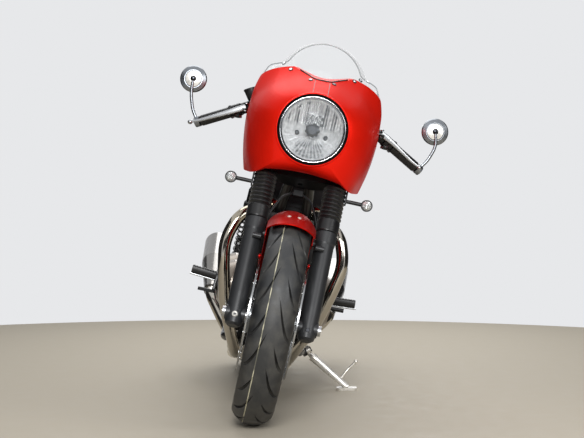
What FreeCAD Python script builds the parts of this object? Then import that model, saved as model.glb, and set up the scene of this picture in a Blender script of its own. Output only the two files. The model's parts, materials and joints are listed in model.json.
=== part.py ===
import FreeCAD, Part

import os
from math import asin, atan2, cos, hypot, pi, radians, sin, sqrt, tan

from FreeCAD import Placement, Rotation, Vector

# Cafe racer motorcycle, in millimetres.
# Modelled upright: x to the rider's left, y rearwards, z up, with the origin on the
# ground below the front axle. At the end it is steered and leaned on its side stand,
# and moved so that the origin is at the centre of its footprint.

# ---- stance ----
WHEELBASE = 1415.0
RAKE = 22.7            # steering axis from the vertical, degrees
TRAIL = 92.0
LEAN = 12.5            # towards the side stand, degrees
STEER_REST = -0.7      # bars turned a little to the right, degrees

# ---- wheels ----
FRONT_TYRE_RADIUS = 300.0
FRONT_TYRE_WIDTH = 120.0
REAR_TYRE_RADIUS = 312.0
REAR_TYRE_WIDTH = 160.0
BEAD_RADIUS = 218.0
FLANGE_HEIGHT = 13.0
FRONT_RIM_WIDTH = 104.0
REAR_RIM_WIDTH = 140.0
SPOKES_PER_SIDE = 16
SPOKE_RADIUS = 1.7
SPOKE_CROSS = 48.0     # degrees between a spoke's hub end and its rim end
FRONT_AXLE_RADIUS = 10.0
REAR_AXLE_RADIUS = 11.0
RUNNING_FIT = 0.05     # radial clearance of a shaft in its bore
SEAT_GAP = 0.3         # between pieces that lie against each other
SADDLE_GAP = 0.9       # under the soft saddle

# ---- brakes ----
FRONT_DISC_RADIUS = 155.0
FRONT_DISC_OFFSET = 69.5
FRONT_DISC_THICKNESS = 4.5
REAR_DISC_RADIUS = 110.0
REAR_DISC_OFFSET = 92.0
REAR_DISC_THICKNESS = 5.0
PAD_GAP = 1.5
DISC_HOLE_GROUPS = 16
DISC_HOLE_RADIUS = 2.6

# ---- fork; stations run up the leg from the axle ----
FORK_SPACING = 212.0
LEG_X = FORK_SPACING / 2
STANCHION_RADIUS = 20.5
LOWER_LEG_RADIUS = 29.0
LEG_BOTTOM = -38.0
LEG_TOP = 300.0
CUFF_TOP = 341.0
LOWER_YOKE = 452.0
LOWER_YOKE_HEIGHT = 38.0
UPPER_YOKE = 664.0
UPPER_YOKE_HEIGHT = 26.0
FORK_TOP = 744.0
GUARD_BOSS = 260.0
STAY_BOSS = 190.0
STEM_RADIUS = 13.0
HEADSTOCK_RADIUS = 30.0
HEADSTOCK_GAP = 3.0
GAITER_RADIUS = 34.5
GAITER_RIBS = 8

# ---- handlebars, given at the rider's left ----
BAR_RADIUS = 11.1
GRIP_RADIUS = 17.0
BAR_ROOT = Vector(LEG_X, 285, 961)
BAR_END = Vector(LEG_X + 241, 380, 838)
# pivot, knee and ball of each lever
LEVER_LEFT = (Vector(LEG_X + 116, 304, 912), Vector(LEG_X + 172, 314, 879), Vector(LEG_X + 246, 327, 838))
LEVER_RIGHT = (Vector(LEG_X + 116, 304, 904), Vector(LEG_X + 196, 313, 862), Vector(LEG_X + 268, 327, 826))
MIRROR_LEFT = Vector(LEG_X + 277, 396, 962)
MIRROR_RIGHT = Vector(LEG_X + 291, 396, 964)
MIRROR_RADIUS = 42.5

# ---- fairing and lamp ----
LAMP_CENTRE = Vector(0, 60, 865)
LAMP_LENS_RADIUS = 89.0
LAMP_RING_RADIUS = 97.5
LAMP_GASKET_RADIUS = 106.0
FAIRING_WALL = 3.5
SCREEN_WALL = 3.0
SCREEN_GAP = 0.4
INDICATOR_BALL = Vector(LEG_X + 102, 180, 684)
INDICATOR_RADIUS = 17.0

# ---- frame ----
CRADLE_RADIUS = 16.0
CRADLE_HALF_WIDTH = 125.0
CRADLE_BOTTOM = 180.0
RAIL_RADIUS = 12.5
RAIL_HALF_WIDTH = 105.0
RAIL_BEND = 200.0
BACKBONE_RADIUS = 22.0
SWING_PIVOT = Vector(0, 880, 360)
SWING_PIVOT_RADIUS = 22.0
ARM_OFFSET = 127.0
ARM_WIDTH = 30.0
SHOCK_LOWER = Vector(152, WHEELBASE - 77, 372)
SHOCK_UPPER = Vector(142, WHEELBASE - 200, 700)
BOBBIN_THREAD_RADIUS = 4.0
TAIL_LOOP_Y = WHEELBASE + 25
COWL_START = WHEELBASE - 232
COWL_END = WHEELBASE + 145

# ---- tank and filler ----
CAP_CENTRE = Vector(0, 520, 990)
CAP_AXIS = Vector(0, 0.04, 1).normalize()
CAP_RADIUS = 38.5
CAP_HINGE = CAP_CENTRE + Vector(0, -51, 3)

# ---- engine ----
CRANKCASE_HALF_WIDTH = 108.0
CYLINDER_FINS = 11
FIN_PITCH = 9.0
FIN_THICKNESS = 2.6

# ---- exhaust ----
HEADER_RADIUS = 19.0
SILENCER_START = Vector(212, 985, 285)
SILENCER_END = Vector(240, WHEELBASE + 75, 440)
SILENCER_RADIUS = 49.0

# ---- final drive ----
CHAIN_OFFSET = 96.0
CHAIN_PITCH = 15.875
REAR_TEETH = 42
FRONT_TEETH = 16
DRIVE_CENTRE = Vector(CHAIN_OFFSET, 800, 374)
CHAIN_HALF_HEIGHT = 7.6
CHAIN_WIDTH = 18.0

# ---- side stand ----
STAND_PIVOT = Vector(CRADLE_HALF_WIDTH + 36, 775, 168)
STAND_FOOT_X = 322.0
STAND_FOOT_Y = 738.0
STAND_FOLDED = Vector(0.25, 0.95, -0.18)
STAND_AXIS_SHARE = 0.22  # rearward share of the stand's hinge axis
STAND_TUBE_RADIUS = 10.5
STAND_FOOT_THICKNESS = 8.0

ORIGIN = Vector(0, 0, 0)
X = Vector(1, 0, 0)
Y = Vector(0, 1, 0)
Z = Vector(0, 0, 1)

rake = radians(RAKE)
STEER_AXIS = Vector(0, sin(rake), cos(rake))
STEER_GROUND = Vector(0, -TRAIL, 0)
YOKE_OFFSET = FRONT_TYRE_RADIUS * sin(rake) - TRAIL * cos(rake)
FRONT_AXLE = Vector(0, 0, FRONT_TYRE_RADIUS)
REAR_AXLE = Vector(0, WHEELBASE, REAR_TYRE_RADIUS)
FORK = Placement(FRONT_AXLE, Rotation(X, -RAKE))


# ---------------------------------------------------------------- shape tools
def box(x_range, y_range, z_range):
    """Box between the given pairs of limits."""
    low = Vector(x_range[0], y_range[0], z_range[0])
    high = Vector(x_range[1], y_range[1], z_range[1])
    size = high - low
    return Part.makeBox(size.x, size.y, size.z, low)


def rod(start, end, radius, bore=0.0):
    """Round bar or tube between two points."""
    axis = end - start
    solid = Part.makeCylinder(radius, axis.Length, start, axis)
    if bore:
        solid = solid.cut(Part.makeCylinder(bore, axis.Length, start, axis))
    return solid


def taper(start, end, start_radius, end_radius):
    """Cone between two points."""
    axis = end - start
    return Part.makeCone(start_radius, end_radius, axis.Length, start, axis)


def ball(centre, radius):
    return Part.makeSphere(radius, centre)


def outline(start, *steps):
    """Closed wire; a step is a point for a line, or (middle, end) for an arc."""
    edges = []
    here = start
    for step in steps:
        if isinstance(step, tuple):
            middle, end = step
            edges.append(Part.Arc(here, middle, end).toShape())
        else:
            end = step
            edges.append(Part.makeLine(here, end))
        here = end
    if here.distanceToPoint(start) > 1e-6:
        edges.append(Part.makeLine(here, start))
    return Part.Wire(edges)


def prism(wire, travel):
    return Part.Face(wire).extrude(travel)


def spin(wire, centre, axis, angle=360.0):
    return Part.Face(wire).revolve(centre, axis, angle)


def turned(profile, start, axis):
    """Turned piece: profile is (radius, station) pairs along an axis from start."""
    wire = outline(*[Vector(radius, 0, station) for radius, station in profile])
    solid = spin(wire, ORIGIN, Z)
    return moved(solid, Placement(start, Rotation(Z, axis)))


def wheel_ring(profile, axle):
    """Ring about an axle; profile is (x, radius) pairs or ((x, r), (x, r)) arcs."""
    def spot(pair):
        return Vector(pair[0], axle.y, axle.z + pair[1])

    steps = []
    for item in profile:
        if isinstance(item[0], tuple):
            steps.append((spot(item[0]), spot(item[1])))
        else:
            steps.append(spot(item))
    return spin(outline(*steps), axle, X)


def pipe(points, radius, bore=0.0, bend=None):
    """Tube along straight runs joined by tangent arcs."""
    edges = []
    here = points[0]
    for before, corner, after in zip(points, points[1:], points[2:]):
        incoming = (corner - before).normalize()
        outgoing = (after - corner).normalize()
        turn = incoming.getAngle(outgoing)
        shorter = min(corner.distanceToPoint(before), corner.distanceToPoint(after))
        setback = 0.45 * shorter
        if bend:
            setback = min(setback, bend * tan(turn / 2))
        arc_radius = setback / tan(turn / 2)
        entry = corner - incoming * setback
        leave = corner + outgoing * setback
        inward = (outgoing - incoming).normalize()
        middle = corner + inward * (arc_radius / cos(turn / 2) - arc_radius)
        edges.append(Part.makeLine(here, entry))
        edges.append(Part.Arc(entry, middle, leave).toShape())
        here = leave
    edges.append(Part.makeLine(here, points[-1]))
    path = Part.Wire(edges)
    heading = (points[1] - points[0]).normalize()
    solid = sweep(path, points[0], heading, radius)
    if bore:
        solid = solid.cut(sweep(path, points[0], heading, bore))
    return solid


def sweep(path, start, heading, radius):
    circle = Part.Wire([Part.makeCircle(radius, start, heading)])
    return path.makePipeShell([circle], True, False)


def moved(shape, placement):
    copy = shape.copy()
    copy.Placement = placement.multiply(copy.Placement)
    return copy


def mirrored(shape):
    return shape.mirror(ORIGIN, X)


def pair(shape):
    """The given left-hand piece and its mirror image, as one node."""
    return Part.makeCompound([shape, mirrored(shape)])


def fused(*shapes):
    solid = shapes[0].multiFuse(list(shapes[1:]))
    return solid.removeSplitter()


def softened(solid, radius, direction):
    """Fillet of every straight edge that runs along the given direction."""
    edges = []
    for edge in solid.Edges:
        if edge.Curve.TypeId != "Part::GeomLine":
            continue
        if abs(edge.tangentAt(edge.FirstParameter).dot(direction)) > 0.999:
            edges.append(edge)
    return solid.makeFillet(radius, edges)


# ---------------------------------------------------------------- wheels
def tyre(axle, radius, width, rim_width):
    """Closed tyre: beads on the rim seats, round crown."""
    flange = BEAD_RADIUS + FLANGE_HEIGHT
    bead = rim_width / 2 - 6.0
    lip = rim_width / 2 + 2.0
    widest = flange + 0.30 * (radius - flange)
    shoulder = flange + 0.52 * (radius - flange)
    half = width / 2
    profile = [
        (bead, BEAD_RADIUS + SEAT_GAP), (bead + 0.7, flange + SEAT_GAP),
        (lip, flange + SEAT_GAP + 1.0),
        ((half - 1.5, widest - 8.0), (half, widest)),
        ((half, (widest + shoulder) / 2), (half - 1.5, shoulder)),
        ((0, radius), (-half + 1.5, shoulder)),
        ((-half, (widest + shoulder) / 2), (-half, widest)),
        ((-half + 1.5, widest - 8.0), (-lip, flange + SEAT_GAP + 1.0)),
        (-bead - 0.7, flange + SEAT_GAP), (-bead, BEAD_RADIUS + SEAT_GAP),
    ]
    return wheel_ring(profile, axle)


def rim(axle, rim_width):
    """Drop-centre rim with rolled flanges."""
    half = rim_width / 2
    flange = BEAD_RADIUS + FLANGE_HEIGHT
    side = [
        (half, flange), (half - 5.2, flange), (half - 5.9, BEAD_RADIUS),
        (half - 20.0, BEAD_RADIUS - 2.0), (half - 30.0, BEAD_RADIUS - 12.0),
    ]
    inner = [
        (half - 27.0, BEAD_RADIUS - 18.0), (half - 16.0, BEAD_RADIUS - 8.0),
        (half - 2.0, BEAD_RADIUS - 3.0),
    ]
    profile = side + [(-x, r) for x, r in reversed(side)]
    profile += [(-x, r) for x, r in reversed(inner)] + inner
    return wheel_ring(profile, axle)


def spokes(axle, flange_x, flange_radius, rim_x):
    """Crossed spokes; each runs from a hub flange to the rim."""
    rods = []
    rim_radius = BEAD_RADIUS - 16.0
    for side in (-1, 1):
        for index in range(SPOKES_PER_SIDE):
            lean_way = 1 if index % 2 else -1
            rim_angle = 2 * pi * (index + (0.5 if side > 0 else 0)) / SPOKES_PER_SIDE
            hub_angle = rim_angle + lean_way * radians(SPOKE_CROSS)
            hub_x = side * (flange_x + lean_way * 5.0)
            hub = axle + Vector(hub_x, flange_radius * sin(hub_angle), flange_radius * cos(hub_angle))
            end = axle + Vector(side * rim_x, rim_radius * sin(rim_angle), rim_radius * cos(rim_angle))
            rods.append(rod(hub, end, SPOKE_RADIUS))
    return rods


def front_wheel_pieces():
    axle = FRONT_AXLE
    disc_inner_face = FRONT_DISC_OFFSET - FRONT_DISC_THICKNESS / 2
    bore = FRONT_AXLE_RADIUS + RUNNING_FIT
    # (x, radius) of half the hub: barrel, spoke flange, disc seat, spigot
    hub_half = [
        (73.0, bore), (73.0, 20.0), (disc_inner_face, 20.0), (disc_inner_face, 46.0),
        (disc_inner_face - 6.0, 46.0), (48.0, 30.0), (42.0, 30.0), (42.0, 46.0),
        (27.0, 46.0), (22.0, 26.0),
    ]
    profile = hub_half + [(-x, r) for x, r in reversed(hub_half)]
    hub = wheel_ring(profile, axle)
    wheel = fused(rim(axle, FRONT_RIM_WIDTH), hub, *spokes(axle, 34.5, 40.0, 12.0))
    discs = pair(brake_disc(axle, FRONT_DISC_OFFSET, FRONT_DISC_THICKNESS, FRONT_DISC_RADIUS, 33.0, 20.0,
        10))
    return {
        "front_tyre": tyre(axle, FRONT_TYRE_RADIUS, FRONT_TYRE_WIDTH, FRONT_RIM_WIDTH),
        "front_wheel": wheel,
        "front_brake_discs": discs,
    }


def brake_disc(axle, offset, thickness, radius, band, bore, arms):
    """Drilled ring with a band for the pads, arms to a centre, and bobbins between."""
    start = axle + Vector(offset - thickness / 2, 0, 0)
    travel = X * thickness
    inner = radius - band
    ring = rod(start, start + travel, radius, inner)
    centre = rod(start, start + travel, 50.0, bore + SEAT_GAP)
    pieces = [ring, centre]
    for index in range(arms):
        angle = 2 * pi * index / arms
        out = Vector(0, sin(angle), cos(angle))
        across = Vector(0, cos(angle), -sin(angle)) * 7.0
        foot = start + out * 44.0
        tip = start + out * (inner + 2.0)
        arm = prism(outline(foot - across * 1.6, foot + across * 1.6, tip + across, tip - across), travel)
        bobbin_start = start + out * inner - X * 1.0
        pieces += [arm, rod(bobbin_start, bobbin_start + X * (thickness + 2.0), 8.0)]
    holes = []
    for group in range(DISC_HOLE_GROUPS):
        for row, share in enumerate((0.42, 0.62, 0.82)):
            angle = 2 * pi * (group + row / 3) / DISC_HOLE_GROUPS
            place = start + Vector(0, sin(angle), cos(angle)) * (inner + band * share)
            holes.append(rod(place - X, place + travel + X, DISC_HOLE_RADIUS))
    return fused(*pieces).cut(Part.makeCompound(holes))


def rear_wheel_pieces():
    axle = REAR_AXLE
    bore = REAR_AXLE_RADIUS + RUNNING_FIT
    disc_face = REAR_DISC_OFFSET - REAR_DISC_THICKNESS / 2
    sprocket_face = CHAIN_OFFSET - 4.0
    # (x, radius) from the sprocket side to the disc side
    profile = [
        (100.0, bore), (100.0, 22.0), (sprocket_face, 22.0), (sprocket_face, 62.0),
        (84.0, 74.0), (58.0, 74.0), (52.0, 56.0), (34.0, 56.0), (28.0, 34.0),
        (-40.0, 34.0), (-46.0, 56.0), (-58.0, 56.0), (-62.0, 36.0), (-disc_face + 6.0, 36.0),
        (-disc_face + 6.0, 50.0), (-disc_face, 50.0), (-disc_face, 22.0), (-100.0, 22.0), (-100.0, bore),
    ]
    hub = wheel_ring(profile, axle)
    wheel = fused(rim(axle, REAR_RIM_WIDTH), hub, *spokes(axle, 48.0, 50.0, 16.0))
    disc = brake_disc(axle, -REAR_DISC_OFFSET, REAR_DISC_THICKNESS, REAR_DISC_RADIUS, 28.0, 22.0, 6)
    return {
        "rear_tyre": tyre(axle, REAR_TYRE_RADIUS, REAR_TYRE_WIDTH, REAR_RIM_WIDTH),
        "rear_wheel": wheel,
        "rear_brake_disc": disc,
        "rear_sprocket": rear_sprocket(),
    }


def pitch_radius(teeth):
    return CHAIN_PITCH / (2 * sin(pi / teeth))


def rear_sprocket():
    """Toothed plate that turns just inside the chain's loop, with lightening holes."""
    tip = pitch_radius(REAR_TEETH) - CHAIN_HALF_HEIGHT - 0.6
    root = tip - 7.0
    start = REAR_AXLE + Vector(CHAIN_OFFSET - 3.0, 0, 0)
    points = []
    for tooth in range(REAR_TEETH):
        for part, radius in ((0.0, root), (0.30, root), (0.5, tip), (0.62, tip)):
            angle = 2 * pi * (tooth + part) / REAR_TEETH
            points.append(start + Vector(0, sin(angle), cos(angle)) * radius)
    plate = prism(outline(*points), X * 6.0)
    cutters = [rod(start - X, start + X * 8.0, 22.0 + SEAT_GAP)]
    for index in range(5):
        angle = 2 * pi * index / 5
        hole = start + Vector(0, sin(angle), cos(angle)) * 76.0
        cutters.append(rod(hole - X, hole + X * 8.0, 11.0))
    return plate.cut(Part.makeCompound(cutters))


# ---------------------------------------------------------------- front end
def on_fork(shape):
    """Places a piece drawn in the fork's own frame: z up the leg, y rearwards."""
    return moved(shape, FORK)


def fork_point(x, y, z):
    return FORK.multVec(Vector(x, y, z))


def yoke(station, height, clamp_radius, stem_boss, reach):
    """Forged triple clamp: two leg clamps and a stem boss on a waisted bridge."""
    top = Vector(0, 0, height)
    legs = [Vector(x, 0, station) for x in (-LEG_X, LEG_X)]
    stem = Vector(0, YOKE_OFFSET, station)
    bridge = outline(
        Vector(-LEG_X, -18, station),
        (Vector(0, -18 + reach, station), Vector(LEG_X, -18, station)),
        Vector(LEG_X, 20, station), Vector(40, YOKE_OFFSET + 24, station),
        Vector(-40, YOKE_OFFSET + 24, station), Vector(-LEG_X, 20, station))
    body = fused(prism(bridge, top), rod(stem, stem + top, stem_boss),
        *[rod(p, p + top, clamp_radius) for p in legs])
    return body.cut(Part.makeCompound([rod(p, p + top, STANCHION_RADIUS + RUNNING_FIT) for p in legs]))


def lower_yoke():
    """Lower yoke with the hollow steering stem pressed in."""
    body = yoke(LOWER_YOKE, LOWER_YOKE_HEIGHT, 34.5, HEADSTOCK_RADIUS, 6.0)
    foot = Vector(0, YOKE_OFFSET, LOWER_YOKE)
    stem = rod(foot, foot + Z * (UPPER_YOKE - LOWER_YOKE), STEM_RADIUS)
    hollow = rod(foot - Z, foot + Z * 60.0, 8.5)
    return on_fork(fused(body, stem).cut(hollow))


def upper_yoke():
    """Upper yoke with the stem nut on top."""
    station = UPPER_YOKE + SEAT_GAP
    body = yoke(station, UPPER_YOKE_HEIGHT, 31.0, 28.0, 10.0)
    seat = Vector(0, YOKE_OFFSET, station + UPPER_YOKE_HEIGHT)
    return on_fork(fused(body, rod(seat, seat + Z * 10.0, 17.0)))


def stanchion():
    foot = Vector(LEG_X, 0, 110.0)
    head = Vector(LEG_X, 0, FORK_TOP)
    cap = turned([(0, 0), (STANCHION_RADIUS, 0), (STANCHION_RADIUS, 4), (14, 8), (0, 8)], head, Z)
    return on_fork(fused(rod(foot, head, STANCHION_RADIUS), cap))


def fork_gaiter():
    """Plain cuff on the lower leg, then bellows up to the lower yoke."""
    inside = STANCHION_RADIUS + 0.5
    cuff_foot = LEG_TOP + SEAT_GAP
    top = LOWER_YOKE - SEAT_GAP
    pitch = (top - CUFF_TOP - 6.0) / GAITER_RIBS
    profile = [(inside, cuff_foot), (32.5, cuff_foot), (33.5, cuff_foot + 3), (33.5, CUFF_TOP - 4),
        (31.0, CUFF_TOP)]
    for rib in range(GAITER_RIBS):
        base = CUFF_TOP + rib * pitch
        profile += [(30.0, base + 0.15 * pitch), (GAITER_RADIUS, base + 0.5 * pitch),
            (GAITER_RADIUS, base + 0.65 * pitch)]
    profile += [(29.0, top - 6.0), (28.0, top), (inside, top)]
    return on_fork(turned(profile, Vector(LEG_X, 0, 0), Z))


def fork_lower():
    """Cast lower leg with axle boss, caliper lug, mudguard boss and stay boss."""
    radius = LOWER_LEG_RADIUS
    profile = [
        (0, LEG_BOTTOM), (16, LEG_BOTTOM), (24, LEG_BOTTOM + 6), (27, -18), (radius - 1, 20), (radius, 60),
        (radius, LEG_TOP - 42), (radius + 2, LEG_TOP - 36), (radius + 2, LEG_TOP - 3), (radius, LEG_TOP),
        (0, LEG_TOP),
    ]
    leg = turned(profile, Vector(LEG_X, 0, 0), Z)
    boss = rod(Vector(LEG_X - 29, 0, 0), Vector(LEG_X + 29, 0, 0), 22.0)
    lug = softened(box((LEG_X - 16, LEG_X - 2), (10, 62), (70, 150)), 8.0, X)
    guard_boss = rod(Vector(71.5, 0, GUARD_BOSS), Vector(LEG_X, 0, GUARD_BOSS), 9.0)
    stay_boss = rod(Vector(76.4, 6, STAY_BOSS), Vector(LEG_X, 6, STAY_BOSS), 7.0)
    bore = rod(Vector(LEG_X, 0, 105.0), Vector(LEG_X, 0, LEG_TOP), STANCHION_RADIUS + RUNNING_FIT)
    axle_hole = rod(Vector(LEG_X - 40, 0, 0), Vector(LEG_X + 40, 0, 0), FRONT_AXLE_RADIUS + RUNNING_FIT)
    body = fused(leg, boss, lug, guard_boss, stay_boss)
    return on_fork(body.cut(bore).cut(axle_hole))


def front_axle():
    """Spindle with head and nut outside the legs and a spacer inside each."""
    outer = LEG_X + 29.0 + SEAT_GAP
    end = outer + 9.0
    spindle = rod(Vector(-end, 0, 0), Vector(end, 0, 0), FRONT_AXLE_RADIUS)
    head = rod(Vector(outer, 0, 0), Vector(end, 0, 0), 15.0)
    nut = rod(Vector(-end, 0, 0), Vector(-outer, 0, 0), 15.0)
    spacers = [
        rod(Vector(side * (73.0 + SEAT_GAP), 0, 0), Vector(side * (LEG_X - 29.0 - SEAT_GAP), 0, 0), 16.0)
        for side in (-1, 1)
    ]
    return moved(fused(spindle, head, nut, *spacers), Placement(FRONT_AXLE, Rotation()))


def front_caliper():
    """Two-piece caliper over the disc, behind the leg."""
    low = FRONT_DISC_OFFSET - 22.0
    block = softened(box((low, LEG_X + 4), (62 + SEAT_GAP, 106), (64, 140)), 14.0, X)
    pistons = [rod(Vector(LEG_X + 4, 84, z), Vector(LEG_X + 10, 84, z), 15.0) for z in (84, 120)]
    body = fused(block, *pistons)
    half_slot = FRONT_DISC_THICKNESS / 2 + PAD_GAP
    sweep_radius = FRONT_DISC_RADIUS + 3.0
    slot = rod(Vector(FRONT_DISC_OFFSET - half_slot, 0, 0), Vector(FRONT_DISC_OFFSET + half_slot, 0, 0),
        sweep_radius)
    return on_fork(body.cut(slot))


def front_mudguard():
    """Round-section guard over the tyre, with side brackets and rear stays."""
    half = 70.0
    crown = 322.0
    edge = 279.0
    wall = 3.0
    rise = crown - edge
    outer_radius = (half * half + rise * rise) / (2 * rise)
    inner_half = half - wall * 0.5
    def spot(x, r):
        return FRONT_AXLE + Vector(x, 0, r)

    section = outline(
        spot(-half, edge), (spot(0, crown), spot(half, edge)), spot(inner_half, edge - 1.0),
        (spot(0, crown - wall), spot(-inner_half, edge - 1.0)))
    start_angle = 30.0
    sweep_angle = start_angle + 72.0
    face = Part.Face(section)
    face.rotate(FRONT_AXLE, X, start_angle)
    sheet = face.revolve(FRONT_AXLE, X, -sweep_angle)
    front_cut = prism(outline(
        Vector(-half - 5, -80, 300), (Vector(0, -80 - half, 300), Vector(half + 5, -80, 300)),
        Vector(half + 5, 500, 300), Vector(-half - 5, 500, 300)), Z * 400)
    sheet = sheet.common(front_cut)
    tabs = []
    for side in (-1, 1):
        tab = softened(box((68.8, 71.2), (-16, 16), (GUARD_BOSS - 14, GUARD_BOSS + 30)), 6.0, X)
        tab = on_fork(tab)
        lower = fork_point(73.0, 6, STAY_BOSS)
        angle = radians(64)
        upper = FRONT_AXLE + Vector(69.5, 283 * sin(angle), 283 * cos(angle))
        stay = rod(lower, upper, 2.8)
        eye = rod(fork_point(70.6, 6, STAY_BOSS), fork_point(76.1, 6, STAY_BOSS), 7.0)
        piece = fused(tab, stay, eye)
        tabs.append(piece if side > 0 else mirrored(piece))
    return fused(sheet, *tabs)


def bar_direction():
    return (BAR_END - BAR_ROOT).normalize()


def bar_point(x):
    """Point on the left handlebar's centre line at the given x."""
    share = (x - BAR_ROOT.x) / (BAR_END.x - BAR_ROOT.x)
    return BAR_ROOT + (BAR_END - BAR_ROOT) * share


def clip_on():
    """Clamp round the stanchion above the upper yoke, with its bar."""
    low = UPPER_YOKE + UPPER_YOKE_HEIGHT + 4.0
    foot = fork_point(LEG_X, 0, low)
    head = fork_point(LEG_X, 0, low + 38.0)
    clamp = rod(foot, head, 32.0)
    bar = rod(bar_point(LEG_X + 6), BAR_END, BAR_RADIUS)
    ears = on_fork(softened(box((LEG_X - 9, LEG_X + 9), (28, 44), (low + 4, low + 34)), 5.0, Z))
    bore = rod(foot - STEER_AXIS, head + STEER_AXIS, STANCHION_RADIUS + RUNNING_FIT)
    split = on_fork(box((LEG_X - 1.2, LEG_X + 1.2), (15, 50), (low - 1, low + 40)))
    return fused(clamp, bar, ears).cut(bore).cut(split)


def grip():
    """Rubber grip with an inner flange."""
    start = bar_point(LEG_X + 149)
    length = bar_point(LEG_X + 239).distanceToPoint(start)
    bore = BAR_RADIUS + RUNNING_FIT
    profile = [(bore, 0), (21, 0), (21, 4), (GRIP_RADIUS, 6), (GRIP_RADIUS, length - 4),
        (GRIP_RADIUS - 3, length), (bore, length)]
    return turned(profile, start, bar_direction())


def hand_control(reservoir, lever):
    """Perch and switch block on the bar with its lever; the brake side carries a reservoir."""
    start = bar_point(LEG_X + 94)
    end = bar_point(LEG_X + 120)
    pivot_at, knee, ball_at = lever
    perch = rod(start, end, 17.5)
    switch = rod(bar_point(LEG_X + 118), bar_point(LEG_X + 147), 19.5)
    arm = rod((start + end) / 2, pivot_at, 10.0)
    pivot = rod(pivot_at - Vector(0, -4, 10), pivot_at + Vector(0, -4, 10), 11.0)
    blade = taper(pivot_at, knee, 8.5, 7.0)
    tip = taper(knee, ball_at, 7.0, 4.5)
    pieces = [perch, switch, arm, pivot, blade, ball(knee, 7.0), tip, ball(ball_at, 7.5)]
    if reservoir:
        foot = Vector(LEG_X + 89, 332, 937)
        rise = Vector(0.46, 0, 0.89)
        pieces.append(taper(foot, foot + rise * 30.0, 19.0, 23.0))
        pieces.append(rod(foot + rise * 30.0, foot + rise * 36.0, 24.0))
        pieces.append(rod((start + end) / 2, foot + rise * 4.0, 9.0))
    return fused(*pieces).cut(rod(bar_point(LEG_X + 74), bar_point(LEG_X + 160), BAR_RADIUS + RUNNING_FIT))


def mirror_assembly(centre):
    """Bar-end mirror: clamp, curved stem and a grooved round head."""
    out = bar_direction()
    plug_start = BAR_END + out * SEAT_GAP
    plug = rod(plug_start, plug_start + out * 16.0, 16.0)
    back = centre - Y * 14.0
    stem = pipe([plug_start + out * 8.0, BAR_END + Vector(31, 4, 28), BAR_END + Vector(48, 3, 80), back],
        5.0)
    edge = MIRROR_RADIUS
    head_profile = [
        (0, 0), (12, 0), (edge * 0.6, 3.0), (edge * 0.62, 5.0), (edge * 0.68, 5.0), (edge - 3, 9.5),
        (edge, 14), (edge, 18), (edge - 2, 20), (edge - 3, 18.5), (0, 18.5),
    ]
    head = turned(head_profile, back - Y * 2.0, Y)
    return fused(plug, stem, head)


# front shell sections: y, bottom centre z, lower corner (x, z), waist (x, z),
# flank radius above the waist, angle at which the flank meets the crown (degrees)
SHELL = (
    (56, 757, 62, 777, 108, 865, 106, 37.0),
    (72, 746, 94, 748, 132, 866, 100, 40.0),
    (96, 739, 120, 727, 153, 867, 108, 41.0),
    (150, 731, LEG_X + 42, 711, LEG_X + 75, 872, 132, 39.0),
    (220, 726, LEG_X + 60, 712, LEG_X + 93, 882, 230, 17.6),
    (300, 722, LEG_X + 68, 728, LEG_X + 101, 890, 285, 45.6),
)
CHIN_DEPTH = 100.0      # y as far as which the shell is closed below


def shell_wire(section, wall):
    """One outline of the front shell, drawn inwards by the wall's thickness.

    The flank is upright at the waist, and runs on into the crown without a corner.
    """
    y, bottom, low_x, low_z, waist_x, waist_z, flank, turn = section
    low_x = low_x - wall
    low_z = low_z + wall * 0.6
    waist_x = waist_x - wall
    flank = flank - wall
    turn = radians(turn)
    drop = waist_z - low_z
    lower = (drop ** 2 + (waist_x - low_x) ** 2) / (2 * (waist_x - low_x))
    half_drop = asin(drop / lower) / 2

    def spot(x, z):
        return Vector(x, y + wall, z)

    def on_flank(angle):
        return spot(waist_x - flank + flank * cos(angle), waist_z + flank * sin(angle))

    def other(point):
        return Vector(-point.x, point.y, point.z)

    low = spot(low_x, low_z)
    belly = spot(waist_x - lower + lower * cos(half_drop), waist_z - lower * sin(half_drop))
    waist = spot(waist_x, waist_z)
    half_way = on_flank(turn / 2)
    shoulder = on_flank(turn)
    crown = spot(0, shoulder.z + shoulder.x * (1 - sin(turn)) / cos(turn))
    return outline(
        other(low), (spot(0, bottom + wall), low), (belly, waist), (half_way, shoulder),
        (crown, other(shoulder)), (other(half_way), other(waist)), (other(belly), other(low)))


def shell_loft(wall):
    """Solid through all sections, drawn inwards by a wall."""
    return Part.makeLoft([shell_wire(section, wall) for section in SHELL], True, False)


def front_shell(wall):
    """Hollow bullet shell with a chin, open behind it below and at the back."""
    shell = shell_loft(0.0).cut(shell_loft(wall))
    drop = moved(shell_loft(2 * wall), Placement(Vector(0, 0, -3 * wall), Rotation()))
    below = box((-2 * LEG_X, 2 * LEG_X), (CHIN_DEPTH, SHELL[-1][0] + 1), (600, 800))
    return shell.cut(drop.common(below))


def above_screen_line(gap):
    """Everything above the line where the screen meets the fairing."""
    line = [(20, 996), (95, 1004), (140, 1019), (206, 1050), (226, 1038), (330, 950)]
    points = [Vector(-260, y, z + gap) for y, z in line]
    points += [Vector(-260, 330, 1300), Vector(-260, 20, 1300)]
    return prism(outline(*points), X * 520)


def fairing():
    """Bullet fairing with the lamp opening, sprung lower lip and open back."""
    shell = front_shell(FAIRING_WALL)
    hole = rod(LAMP_CENTRE - Y * 40, LAMP_CENTRE + Y * 60, LAMP_RING_RADIUS + 1.5)
    return shell.cut(above_screen_line(0.0)).cut(hole)


def windscreen():
    """Clear bubble with side wings, seated on the fairing's upper edge."""
    return front_shell(SCREEN_WALL).common(above_screen_line(SCREEN_GAP))


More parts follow.
